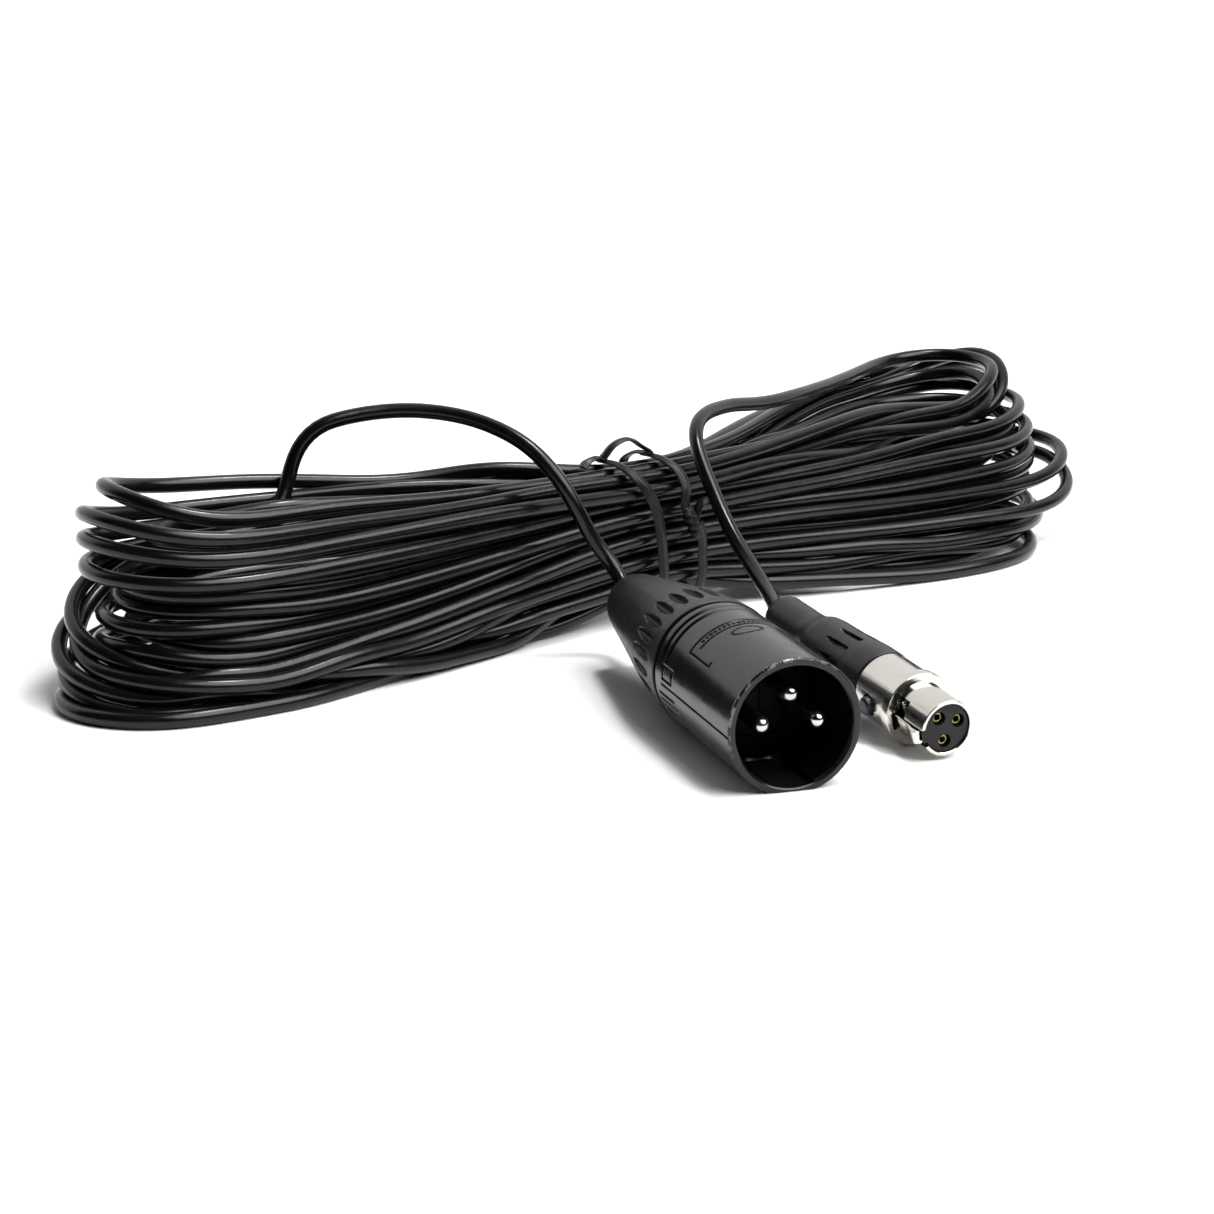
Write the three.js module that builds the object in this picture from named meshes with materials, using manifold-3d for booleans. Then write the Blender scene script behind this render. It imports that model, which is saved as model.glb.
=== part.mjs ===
// A thin audio cable with a full-size three-pin male plug on one end and a miniature
// three-socket plug on the other, wound into a long hank and bound at its middle.
// Millimetres, +Z up. The large plug mates towards -Y, and the hank lies behind both plugs.
// The origin is the middle of the base of the whole set.
import * as THREE from 'three';
import { mergeVertices } from 'three/addons/utils/BufferGeometryUtils.js';
import Module from 'manifold-3d';

const wasm = await Module();
wasm.setup();

// ---------------------------------------------------------------- driving dimensions
const GAP = 0.3;                       // air between pieces that touch in the real thing
const BASE = [-9.4, -77.45];            // large plug's front rim centre, seen from the origin

const CORD_R = 1.2;                    // cable jacket radius
const CORD_SIDES = 8;

// hank, seen from the large plug's front rim centre
const HANK = {
  left: [-70.2, 74.4], tie: [13.7, 95.6], right: [86, 132.1],
  leftR: 20, tieR: 5.2, rightR: 23,    // half widths at the ends and under the tie
  height: 27, bevel: 4, waist: 12.5,   // waist: half length of the narrow part
};

// large plug, measured back from its front rim
const PLUG = {
  shellR: 9.5, boreR: 8.25, shellLen: 28.7, neckR: 8.1, neckBoreR: 6.9, neckEnd: 34.5,
  axisZ: 8.9, dip: 1.21,               // rests on its front lower edge and the boot's ring,
                                       // so the nose dips by this many degrees
  insertFront: 13.5, insertBack: 25.0,
  pinR: 1.2, pinCircle: 4.0, pinTip: 1.3,
  bootFront: 29.05, bootEnd: 65,
  fluteCount: 24, fluteAt: 35.9, fluteHalf: 3.6,
};

// miniature plug, measured back from its nose
const MINI = {
  at: [24.93, 5.85, 4.59],            // nose centre, seen from the large plug's rim centre
  yaw: 6.15, pitch: -5.5,              // degrees
  noseR: 4.05, boreR: 3.5, collarR: 5.34, collarFront: 7.4, collarBack: 9.2,
  rearR: 5.0, rearBoreR: 4.2, rearEnd: 16.7, neckR: 4.25, neckEnd: 20.5,
  socketCircle: 1.95, socketAngles: [132, 25, 266],
  latchAngle: 197, latchWidth: 2.0, pivot: 18.5,
  buttonAngle: 190, buttonAt: 13.2, buttonR: 1.3,
  bootFront: 17.0, bootEnd: 48, slotCount: 12, slotFrom: 23.2, slotTo: 28.9,
};

const TIE = { width: 2.2, thick: 0.5, lean: 0.36, at: [-9, -1], floor: 0.25 };

// ---------------------------------------------------------------- materials
const metal = (color, roughness) =>
  new THREE.MeshStandardMaterial({ color, roughness, metalness: 1 });
const plain = (color, roughness) =>
  new THREE.MeshStandardMaterial({ color, roughness, metalness: 0 });
const LOOK = {
  blackShell: () => new THREE.MeshStandardMaterial({
    color: 0x1b1b1d, roughness: 0.38, metalness: 0.6 }),
  blackPlastic: () => plain(0x141416, 0.6),
  bootRubber: () => plain(0x1d1e21, 0.7),
  jacket: () => plain(0x19191b, 0.5),
  silver: () => metal(0xd9d9dc, 0.18),
  nickel: () => metal(0xcfccc4, 0.2),
  gold: () => metal(0xb89b4a, 0.25),
  greyPlastic: () => plain(0x4a4b50, 0.5),
  red: () => plain(0xa0201c, 0.5),
  white: () => plain(0xe4e2dc, 0.5),
  copper: () => metal(0xb57a4c, 0.35),
  tie: () => plain(0x17171a, 0.45),
};

// ---------------------------------------------------------------- solids
// Welds a geometry into one closed surface whose faces point out.
function weld(geometry) {
  const g = geometry.index ? geometry.toNonIndexed() : geometry.clone();
  for (const name of Object.keys(g.attributes)) if (name !== 'position') g.deleteAttribute(name);
  g.clearGroups();
  const merged = mergeVertices(g, 1e-4);
  const p = merged.attributes.position;
  const old = merged.index.array;
  const kept = [];
  let volume = 0;
  const a = new THREE.Vector3(), b = new THREE.Vector3(), c = new THREE.Vector3();
  for (let i = 0; i < old.length; i += 3) {
    const [u, v, w] = [old[i], old[i + 1], old[i + 2]];
    if (u === v || v === w || u === w) continue;
    kept.push(u, v, w);
    a.fromBufferAttribute(p, u); b.fromBufferAttribute(p, v); c.fromBufferAttribute(p, w);
    volume += a.dot(b.cross(c));
  }
  if (volume < 0) for (let i = 0; i < kept.length; i += 3)
    [kept[i + 1], kept[i + 2]] = [kept[i + 2], kept[i + 1]];
  merged.setIndex(kept);
  return merged;
}

function toSolid(geometry) {
  const g = weld(geometry);
  return new wasm.Manifold(new wasm.Mesh({
    numProp: 3,
    vertProperties: new Float32Array(g.attributes.position.array),
    triVerts: new Uint32Array(g.index.array),
  }));
}

function fromSolid(solid) {
  const m = solid.getMesh();
  const g = new THREE.BufferGeometry();
  g.setAttribute('position', new THREE.BufferAttribute(new Float32Array(m.vertProperties), 3));
  g.setIndex(new THREE.BufferAttribute(new Uint32Array(m.triVerts), 1));
  return g;
}

const cut = (base, ...tools) =>
  fromSolid(tools.reduce((s, t) => s.subtract(toSolid(t)), toSolid(base)));
const join = (base, ...more) =>
  fromSolid(more.reduce((s, t) => s.add(toSolid(t)), toSolid(base)));

// A turned piece about the plug axis (+Y is backwards). Points are [radius, distance back].
const turned = (points, segments = 40) =>
  new THREE.LatheGeometry(points.map(([r, t]) => new THREE.Vector2(r, t)), segments);
const closedTurned = (points, segments = 40) => turned([...points, points[0]], segments);

function box(x0, x1, y0, y1, z0, z1) {
  const g = new THREE.BoxGeometry(x1 - x0, y1 - y0, z1 - z0);
  return g.translate((x0 + x1) / 2, (y0 + y1) / 2, (z0 + z1) / 2);
}

function rod(radius, y0, y1, x = 0, z = 0, sides = 16) {
  return new THREE.CylinderGeometry(radius, radius, y1 - y0, sides)
    .translate(x, (y0 + y1) / 2, z);
}

// Turns a piece made on the +X side of the plug axis round to an angle, 0 = +X, 90 = +Z.
const spun = (geometry, degrees) => geometry.rotateY(-THREE.MathUtils.degToRad(degrees));

function tube(points, radius, steps, sides = CORD_SIDES) {
  const path = new THREE.CatmullRomCurve3(points.map((p) => new THREE.Vector3(...p)),
    false, 'centripetal');
  const section = new THREE.Shape();
  for (let i = 0; i < sides; i++) {
    const a = (2 * Math.PI * i) / sides;
    section[i ? 'lineTo' : 'moveTo'](radius * Math.cos(a), radius * Math.sin(a));
  }
  section.closePath();
  return new THREE.ExtrudeGeometry(section, { steps, extrudePath: path, bevelEnabled: false });
}

const object = new THREE.Group();
object.name = 'xlr_cable_coil';

function add(parent, name, geometry, look) {
  const mesh = new THREE.Mesh(weld(geometry), LOOK[look]());
  mesh.name = name;
  parent.add(mesh);
  return mesh;
}

const seenFromRim = new THREE.Group();          // everything is laid out from the rim centre
seenFromRim.position.set(BASE[0], BASE[1], 0);
object.add(seenFromRim);

// ---------------------------------------------------------------- large plug
const plug = new THREE.Group();
plug.position.set(0, 0, PLUG.axisZ);
plug.rotation.x = THREE.MathUtils.degToRad(PLUG.dip);
seenFromRim.add(plug);

function plugShell() {
  const { shellR, boreR, shellLen, neckR, neckBoreR, neckEnd, axisZ } = PLUG;
  const body = closedTurned([
    [boreR, 0.3], [boreR + 0.3, 0], [shellR - 0.3, 0], [shellR, 0.3],
    [shellR, 24.4], [shellR - 0.25, 24.6], [shellR - 0.25, 24.9], [shellR, 25.1],
    [shellR, 26.2], [shellR - 0.25, 26.4], [shellR - 0.25, 26.7], [shellR, 26.9],
    [shellR, shellLen], [neckR, shellLen], [neckR, neckEnd], [neckBoreR, neckEnd],
    [neckBoreR, 25.4], [boreR, 25.4],
  ], 40);
  const flat = box(-12, 12, -1, 40, -12, -axisZ);
  const keyway = box(-3, 3, -1, 12.5, -8.5, -7.4);
  return cut(body, flat, keyway);
}

const pinPlaces = [[-PLUG.pinCircle, 0], [PLUG.pinCircle, 0], [0, PLUG.pinCircle]];

function plugInsert() {
  const { boreR, insertFront, insertBack, pinR } = PLUG;
  const disc = turned([
    [0, insertFront], [boreR - GAP - 0.3, insertFront], [boreR - GAP, insertFront + 0.3],
    [boreR - GAP, insertBack], [0, insertBack],
  ], 40);
  const holes = pinPlaces.map(([x, z]) => rod(pinR + GAP, insertFront - 1, insertBack + 1, x, z));
  const trench = box(-6.2, 6.2, insertFront - 1, insertFront + 0.5, -5.2, -4.8);
  return cut(disc, ...holes, trench);
}

function plugPin([x, z]) {
  const { pinR, pinTip } = PLUG;
  return turned([
    [0, pinTip], [pinR * 0.5, pinTip + 0.16], [pinR * 0.87, pinTip + 0.6],
    [pinR, pinTip + 1.2], [pinR, 25.6], [pinR - 0.15, 25.8], [pinR - 0.15, 30],
    [0.7, 30], [0.7, 27.4], [0, 27.4],
  ], 20).translate(x, 0, z);
}

function plugBoot() {
  const { bootFront, bootEnd, neckR, neckEnd, fluteCount, fluteAt, fluteHalf } = PLUG;
  const hole = CORD_R + 0.35;
  const body = closedTurned([
    [9.2, bootFront], [9.45, bootFront + 0.3], [9.4, 31], [9.0, 37], [8.6, 40], [7.6, 46],
    [6.6, 52], [5.65, 58], [5.0, 62], [4.4, 63.8], [3.3, bootEnd], [hole, bootEnd],
    [hole, 61], [3.4, 58.8], [5.4, 47], [6.2, 38], [6.2, neckEnd + 0.6],
    [neckR + 0.35, neckEnd + 0.6], [neckR + 0.35, bootFront],
  ], 36);
  const flutes = [];
  for (let i = 0; i < fluteCount; i++) {
    const flute = new THREE.SphereGeometry(1, 8, 4);
    flute.scale(0.8, fluteHalf, 0.8).translate(9.3, fluteAt, 0);
    flutes.push(spun(flute, (360 / fluteCount) * (i + 0.5)));
  }
  return cut(body, ...flutes);
}

function plugChuck() {
  const hole = CORD_R + GAP;
  const body = closedTurned([
    [hole, 38.4], [5.5, 38.4], [5.8, 39], [5.2, 46], [4.4, 50], [3.1, 57], [hole, 57],
  ], 24);
  const slots = [0, 45, 90, 135].map((a) => spun(box(-8, 8, 46, 60, -0.35, 0.35), a));
  return cut(body, ...slots);
}

add(plug, 'xlr_shell', plugShell(), 'blackShell');
add(plug, 'xlr_insert', plugInsert(), 'blackPlastic');
pinPlaces.forEach((place, i) => add(plug, `xlr_pin_${i + 1}`, plugPin(place), 'silver'));
add(plug, 'xlr_ground_tab', box(-1.2, 1.2, 25.7, 33, -6.4, -6.0), 'silver');
add(plug, 'xlr_chuck', plugChuck(), 'white');
add(plug, 'xlr_boot', plugBoot(), 'bootRubber');

// conductors from the end of the jacket to the three solder cups
const jacketEnd = 42;
const cupStart = 28.0;
const coreLook = ['white', 'red', 'copper'];
const coreName = ['white', 'red', 'drain'];
pinPlaces.forEach(([x, z], i) => {
  const a = [0.5, -0.5, 0][i], b = [-0.3, -0.3, 0.55][i];
  add(plug, `xlr_core_${coreName[i]}`, tube([
    [-a, jacketEnd - GAP, b], [-a * 1.8, 38, b * 1.5], [x * 0.75, 33.5, z * 0.75],
    [x, 31, z], [x, cupStart, z],
  ], 0.36, 10, 6), coreLook[i]);
});

// ---------------------------------------------------------------- miniature plug
const mini = new THREE.Group();
mini.position.set(...MINI.at);
mini.rotation.set(-THREE.MathUtils.degToRad(MINI.pitch), 0,
  THREE.MathUtils.degToRad(MINI.yaw), 'ZYX');
seenFromRim.add(mini);

function miniShell() {
  const { noseR, boreR, collarR, collarFront, collarBack, rearR, rearBoreR, rearEnd,
    neckR, neckEnd, latchAngle, buttonAngle, buttonAt, buttonR } = MINI;
  const body = closedTurned([
    [boreR, 0.15], [boreR + 0.15, 0], [noseR - 0.2, 0], [noseR, 0.2], [noseR, collarFront],
    [collarR - 0.35, collarFront], [collarR, collarFront + 0.4], [collarR, collarBack - 0.4],
    [collarR - 0.3, collarBack], [rearR, collarBack + 0.1], [rearR, rearEnd],
    [neckR, rearEnd], [neckR, neckEnd], [3.6, neckEnd], [3.6, rearEnd - 1],
    [rearBoreR, rearEnd - 1.4], [rearBoreR, collarBack + 1.0], [boreR, collarBack + 0.3],
  ], 32);
  const slot = spun(box(2.6, 4.55, -1, collarBack + 1.2, -1.3, 1.3), latchAngle);
  const window = spun(box(2.0, 4.55, 4.9, collarFront - 0.05, -3.3, 1.2), latchAngle);
  const rearSlot = spun(box(2.6, 4.1, rearEnd - 2, neckEnd - 1.0, -1.4, 1.4), latchAngle);
  const hole = spun(new THREE.CylinderGeometry(buttonR + GAP, buttonR + GAP, 4, 20)
    .rotateZ(Math.PI / 2).translate(5, buttonAt, 0), buttonAngle);
  return cut(body, slot, window, rearSlot, hole);
}

const socketPlaces = MINI.socketAngles.map((d) => {
  const a = THREE.MathUtils.degToRad(d);
  return [MINI.socketCircle * Math.cos(a), MINI.socketCircle * Math.sin(a)];
});

function miniInsert() {
  const { boreR, latchAngle } = MINI;
  const r = boreR - GAP;
  const disc = turned([[0, 0.35], [r - 0.15, 0.35], [r, 0.5], [r, 10.5], [0, 10.5]], 32);
  const relief = spun(box(2.0, 4.5, 0.8, 12, -3.2, 1.6), latchAngle);
  const key = spun(box(2.6, 3.8, 0.4, 0.7, -0.9, 0.9), latchAngle);
  const holes = socketPlaces.map(([x, z]) => rod(0.97, -1, 12, x, z, 12));
  return cut(join(disc, key), relief, ...holes);
}

function miniSocket([x, z]) {
  return turned([[0, 8.6], [0.42, 8.6], [0.42, 0.55], [0.72, 0.55], [0.72, 14.6], [0, 14.6]],
    12).translate(x, 0, z);
}

// The latch is one long leaf: a hook near the nose, and its root inside the neck.
function miniLatch() {
  const outline = [
    [2.75, 18.9], [2.75, 11.2], [3.3, 9.6], [3.7, 7.6], [3.7, 3.4], [3.5, 2.6], [3.5, 1.0],
    [4.25, 1.0], [4.7, 1.45], [4.7, 1.9], [4.15, 3.7], [4.1, 4.8], [4.1, 7.6], [3.7, 9.75],
    [3.15, 11.4], [3.15, 18.9],
  ];
  const shape = new THREE.Shape(outline.map(([r, t]) => new THREE.Vector2(r, t)));
  const w = MINI.latchWidth;
  const g = new THREE.ExtrudeGeometry(shape, { depth: w, steps: 1, bevelEnabled: false });
  return spun(g.translate(0, 0, -w / 2), MINI.latchAngle);
}

function miniButton() {
  const { buttonR, buttonAt, buttonAngle } = MINI;
  const g = new THREE.LatheGeometry([
    [0, 3.65], [buttonR, 3.65], [buttonR, 5.45], [buttonR - 0.25, 5.7], [0, 5.78],
  ].map(([r, h]) => new THREE.Vector2(r, h)), 24);
  return spun(g.rotateZ(-Math.PI / 2).translate(0, buttonAt, 0), buttonAngle);
}

// The spring lies across the plug inside the window, beside the leaf.
function miniSpring() {
  const profile = [[0, -2.75]];
  for (let i = 0; i < 4; i++) profile.push([0.36, -2.6 + i * 0.36], [0.26, -2.42 + i * 0.36]);
  profile.push([0, -1.2]);
  return spun(turned(profile, 10).rotateX(Math.PI / 2).translate(2.5, 6.5, 0),
    MINI.latchAngle);
}

function miniBoot() {
  const { bootFront, bootEnd, neckR, neckEnd, slotCount, slotFrom, slotTo } = MINI;
  const hole = CORD_R + 0.35;
  const body = closedTurned([
    [4.85, bootFront], [5.05, bootFront + 0.2], [5.05, 21], [4.62, 28], [4.55, 33.6],
    [4.35, 35.2], [3.6, 37.4], [3.5, 39], [3.5, 46.8], [2.7, bootEnd], [hole, bootEnd],
    [hole, 26.6], [2.9, 25.8], [2.9, 22], [neckR + 0.3, neckEnd + 0.4],
    [neckR + 0.3, bootFront],
  ], 30);
  const slots = [];
  for (let i = 0; i < slotCount; i++) {
    slots.push(spun(box(4.1, 6, slotFrom, slotTo, -0.36, 0.36), (360 / slotCount) * i + 10));
  }
  return cut(body, ...slots);
}

add(mini, 'mini_shell', miniShell(), 'nickel');
add(mini, 'mini_insert', miniInsert(), 'blackPlastic');
socketPlaces.forEach((p, i) => add(mini, `mini_socket_${i + 1}`, miniSocket(p), 'gold'));
add(mini, 'mini_latch', miniLatch(), 'nickel');
add(mini, 'mini_button', miniButton(), 'greyPlastic');
add(mini, 'mini_spring', miniSpring(), 'silver');
add(mini, 'mini_clamp', closedTurned([[CORD_R + GAP, 22.2], [2.4, 22.2], [2.4, 25.4],
  [CORD_R + GAP, 25.4]], 20), 'nickel');
add(mini, 'mini_boot', miniBoot(), 'bootRubber');
const miniJacketEnd = 21.8;
socketPlaces.forEach(([x, z], i) => {
  const a = [0.5, -0.5, 0][i], b = [0.3, 0.3, -0.55][i];
  add(mini, `mini_core_${coreName[i]}`, tube([
    [-a, miniJacketEnd - GAP, b], [-a, 20.4, b], [x * 0.8, 17, z * 0.8], [x, 15.4, z],
    [x, 14.9, z],
  ], 0.3, 8, 6), coreLook[i]);
});

// ---------------------------------------------------------------- hank
const tieAlong = new THREE.Vector2(HANK.right[0] - HANK.left[0], HANK.right[1] - HANK.left[1]);
const tieYaw = Math.atan2(tieAlong.y, tieAlong.x);

// The outline follows a gently bent spine: narrow under the tie, swelling to round ends.
function hankOutline() {
  const { left, tie, right, leftR, tieR, rightR, waist } = HANK;
  const step = tieAlong.clone().normalize().multiplyScalar(waist + 1);
  const spine = new THREE.CatmullRomCurve3([
    new THREE.Vector3(...left, 0), new THREE.Vector3(tie[0] - step.x, tie[1] - step.y, 0),
    new THREE.Vector3(tie[0] + step.x, tie[1] + step.y, 0), new THREE.Vector3(...right, 0),
  ], false, 'centripetal');
  const middle = new THREE.Vector3(...tie, 0);
  const count = 26, near = [], far = [];
  for (let i = 0; i <= count; i++) {
    const p = spine.getPoint(i / count);
    const t = spine.getTangent(i / count);
    const span = p.distanceTo(middle);
    const [end, endR] = p.x < tie[0] ? [left, leftR] : [right, rightR];
    const reach = Math.hypot(end[0] - tie[0], end[1] - tie[1]);
    const w = tieR + (endR - tieR) * THREE.MathUtils.smoothstep(span, waist, reach * 1.02);
    near.push(new THREE.Vector2(p.x + t.y * w, p.y - t.x * w));
    far.unshift(new THREE.Vector2(p.x - t.y * w, p.y + t.x * w));
  }
  const cap = (at, tangent, radius, turn) => {
    const from = Math.atan2(tangent.y, tangent.x) + turn;
    return Array.from({ length: 11 }, (_, i) => from - Math.PI / 2 + (Math.PI * (i + 1)) / 12)
      .map((a) => new THREE.Vector2(at[0] + radius * Math.cos(a), at[1] + radius * Math.sin(a)));
  };
  return [...near, ...cap(right, spine.getTangent(1), rightR, 0), ...far,
    ...cap(left, spine.getTangent(0), leftR, Math.PI)];
}

function hankSolid() {
  const { height, bevel, tie } = HANK;
  const shape = new THREE.Shape(hankOutline());
  const g = new THREE.ExtrudeGeometry(shape, {
    depth: height - 2 * bevel, steps: 1, bevelEnabled: true, bevelThickness: bevel,
    bevelSize: bevel, bevelOffset: -bevel, bevelSegments: 2,
  }).translate(0, 0, bevel);
  return g;
}

// A flat band round a rounded rectangle, leaning along the hank as it rises.
function tieBand(at) {
  const { width, thick, lean, floor } = TIE;
  const w = HANK.tieR + GAP + 0.35, top = HANK.height + GAP, low = floor + thick;
  const ring = (grow) => {
    const s = new (grow > 0 ? THREE.Shape : THREE.Path)();
    const x = w + grow, z0 = low - grow, z1 = top + grow, c = 1.6 + grow;
    s.moveTo(-x + c, z0); s.lineTo(x - c, z0); s.lineTo(x, z0 + c); s.lineTo(x, z1 - c);
    s.lineTo(x - c, z1); s.lineTo(-x + c, z1); s.lineTo(-x, z1 - c); s.lineTo(-x, z0 + c);
    s.closePath();
    return s;
  };
  const shape = ring(thick);
  shape.holes.push(ring(0));
  const g = new THREE.ExtrudeGeometry(shape, { depth: width, steps: 1, bevelEnabled: false });
  // section x -> across the hank, section y -> up, extrusion -> along the hank
  g.translate(0, 0, -width / 2);
  g.applyMatrix4(new THREE.Matrix4().set(0, -lean, 1, at + lean * top, 1, 0, 0, 0,
    0, 1, 0, 0, 0, 0, 0, 1));
  g.rotateZ(tieYaw);
  return g.translate(HANK.tie[0], HANK.tie[1], 0);
}

function tiePlace(geometry) {
  return geometry.rotateZ(tieYaw).translate(HANK.tie[0], HANK.tie[1], 0);
}

const underTie = tiePlace(box(-2, 12, -9, 9, -1, TIE.floor + TIE.thick + GAP));
const hankGeometry = cut(hankSolid(), underTie);
add(seenFromRim, 'hank', hankGeometry, 'jacket');
add(seenFromRim, 'tie_wrap_left', tieBand(TIE.at[0]), 'tie');
add(seenFromRim, 'tie_wrap_right', tieBand(TIE.at[1]), 'tie');

// the strip that steps over from one wrap to the other, standing up in a low arch
function tieBridge() {
  const z = HANK.height + GAP + TIE.thick + GAP;
  const x0 = TIE.at[0] - 0.4, x1 = TIE.at[1] + 0.4, mid = (x0 + x1) / 2, rise = 3.4;
  const outer = [], inner = [];
  for (let i = 0; i <= 10; i++) {
    const f = i / 10, x = x0 + (x1 - x0) * f, h = rise * Math.sin(Math.PI * f);
    outer.push(new THREE.Vector2(x, z + h + 0.5));
    inner.unshift(new THREE.Vector2(x, z + h));
  }
  const g = new THREE.ExtrudeGeometry(new THREE.Shape([...inner, ...outer]),
    { depth: 2.0, steps: 1, bevelEnabled: false });
  return tiePlace(g.rotateX(Math.PI / 2).translate(0, -2.2, 0));
}
add(seenFromRim, 'tie_bridge', tieBridge(), 'tie');

// the twisted ends, in front of the hank between the wraps
function tieTwist() {
  const profile = [[0, 12.2]];
  for (let i = 0; i < 5; i++) profile.push([1.0, 12.7 + i * 1.7], [0.62, 13.5 + i * 1.7]);
  profile.push([0, 21.0]);
  const g = turned(profile, 10).rotateX(Math.PI / 2);
  return tiePlace(g.translate(3.2, -HANK.tieR - 2.6, 0));
}
add(seenFromRim, 'tie_twist', tieTwist(), 'tie');

// ---------------------------------------------------------------- free leads
// Each runs from inside its plug, out of the boot and up onto the hank.
plug.updateMatrix();
mini.updateMatrix();
const onAxis = (group, t) => new THREE.Vector3(0, t, 0).applyMatrix4(group.matrix).toArray();
const plugLead = [
  onAxis(plug, jacketEnd), onAxis(plug, 50), onAxis(plug, 58), onAxis(plug, 66),
  [0.5, 69.6, 10.9], [0.4, 72.3, 12.6], [-0.7, 73.9, 14.7], [-3.3, 74.7, 18.3],
  [-5.7, 75.3, 21.4], [-8.4, 76.8, 24.9], [-12.4, 81.8, 29.4], [-18.4, 88.4, 33.2],
  [-24.2, 92.1, 35.2], [-30.0, 94.1, 36.1], [-35.3, 94.8, 36.1], [-39.3, 94.8, 35.2],
  [-42.8, 94.9, 33.5], [-44.8, 95.3, 31.2], [-45.6, 95.5, 29.4], [-45.8, 95.6, 27.8],
];
add(seenFromRim, 'xlr_lead', tube(plugLead, CORD_R, 30), 'jacket');

const miniLead = [
  onAxis(mini, miniJacketEnd), onAxis(mini, 30), onAxis(mini, 40), onAxis(mini, 48.6),
  [21.2, 60.6, 9.8], [22.0, 66.4, 10.7], [22.1, 71.6, 12.5], [21.6, 77.2, 15.4],
  [21.2, 81.8, 18.5], [20.8, 86.2, 22.2], [20.4, 90.2, 26.0], [20.9, 93.8, 29.0],
  [22.8, 97.7, 30.6], [26.2, 101.9, 31.2], [31.1, 106.8, 31.0], [37.4, 112.0, 30.4],
  [42.4, 115.8, 29.5], [44.3, 117.3, 27.6],
];
add(seenFromRim, 'mini_lead', tube(miniLead, CORD_R, 26), 'jacket');

export default object;
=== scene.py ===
"""A thin audio cable in a long tied hank, with a full-size plug and a miniature plug."""
import math
import bmesh
import bpy
import numpy as np
from mathutils import Matrix, Vector


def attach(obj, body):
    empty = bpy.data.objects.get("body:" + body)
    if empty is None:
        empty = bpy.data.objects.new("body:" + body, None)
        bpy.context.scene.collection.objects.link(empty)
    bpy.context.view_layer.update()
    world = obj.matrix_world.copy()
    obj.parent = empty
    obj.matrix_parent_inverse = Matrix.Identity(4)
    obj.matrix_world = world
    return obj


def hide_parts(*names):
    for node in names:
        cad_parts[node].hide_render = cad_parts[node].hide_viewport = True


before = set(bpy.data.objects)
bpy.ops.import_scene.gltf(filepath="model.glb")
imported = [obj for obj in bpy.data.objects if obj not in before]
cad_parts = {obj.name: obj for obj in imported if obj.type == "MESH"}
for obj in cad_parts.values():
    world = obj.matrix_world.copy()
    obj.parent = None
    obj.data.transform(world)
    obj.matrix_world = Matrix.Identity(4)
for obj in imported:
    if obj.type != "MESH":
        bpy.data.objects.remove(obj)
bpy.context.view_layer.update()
scene = bpy.context.scene

# Lengths are in mm, and places are counted from the floor under the large plug's front
# rim. Only the camera, the lights and the floor are placed in metres.

MM = 0.001
BASE = np.array([-9.4, -77.45, 0.0])  # where that point lies in the frame
CORD_R = 1.2


def metres(points):
    """Points in mm from the large plug's front rim, as points of the frame in metres."""
    return (np.asarray(points, float) + BASE) * MM


def add_object(name, data):
    made = bpy.data.objects.new(name, data)
    scene.collection.objects.link(made)
    return made


# ------- camera, light and floor

CAMERA_AT = (-0.149375, -0.411180, 0.119170)
CAMERA_DOWN, CAMERA_YAW = 14.579, -18.826  # degrees
SENSOR_WIDTH, LENS = 36.0, 85.107

# Patches of light in the room: (direction, cosine to it where the light starts, cosine
# where it is full, radiance).
BACK_WALL = ((0.22, 0.97, 0), 0.12, 0.45, 1.0)
SOFT_BOX = ((0.42, -0.44, 0.794), 0.86, 0.93, 7.4)
TOP_BOX_AT, TOP_BOX_SIZE, TOP_BOX_WATTS = (0.12, 0.02, 0.60), 0.10, 2.0
FLOOR_HALF = 6.0


def make_camera():
    """The camera at the photograph's place, angle and lens."""
    data = bpy.data.cameras.new("camera")
    data.sensor_width, data.lens = SENSOR_WIDTH, LENS
    data.clip_start, data.clip_end = 0.01, 30.0
    cam = add_object("camera", data)
    cam.location = CAMERA_AT
    cam.rotation_euler = (math.radians(90 - CAMERA_DOWN), 0, math.radians(CAMERA_YAW))
    scene.camera = cam


def make_top_box():
    """A small square lamp above, aimed at the middle of the object."""
    data = bpy.data.lights.new("top_box", "AREA")
    data.size, data.energy = TOP_BOX_SIZE, TOP_BOX_WATTS
    lamp = add_object("top_box", data)
    lamp.location = TOP_BOX_AT
    lamp.rotation_mode = "QUATERNION"
    lamp.rotation_quaternion = (-Vector(TOP_BOX_AT)).to_track_quat("-Z", "Y")


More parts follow.
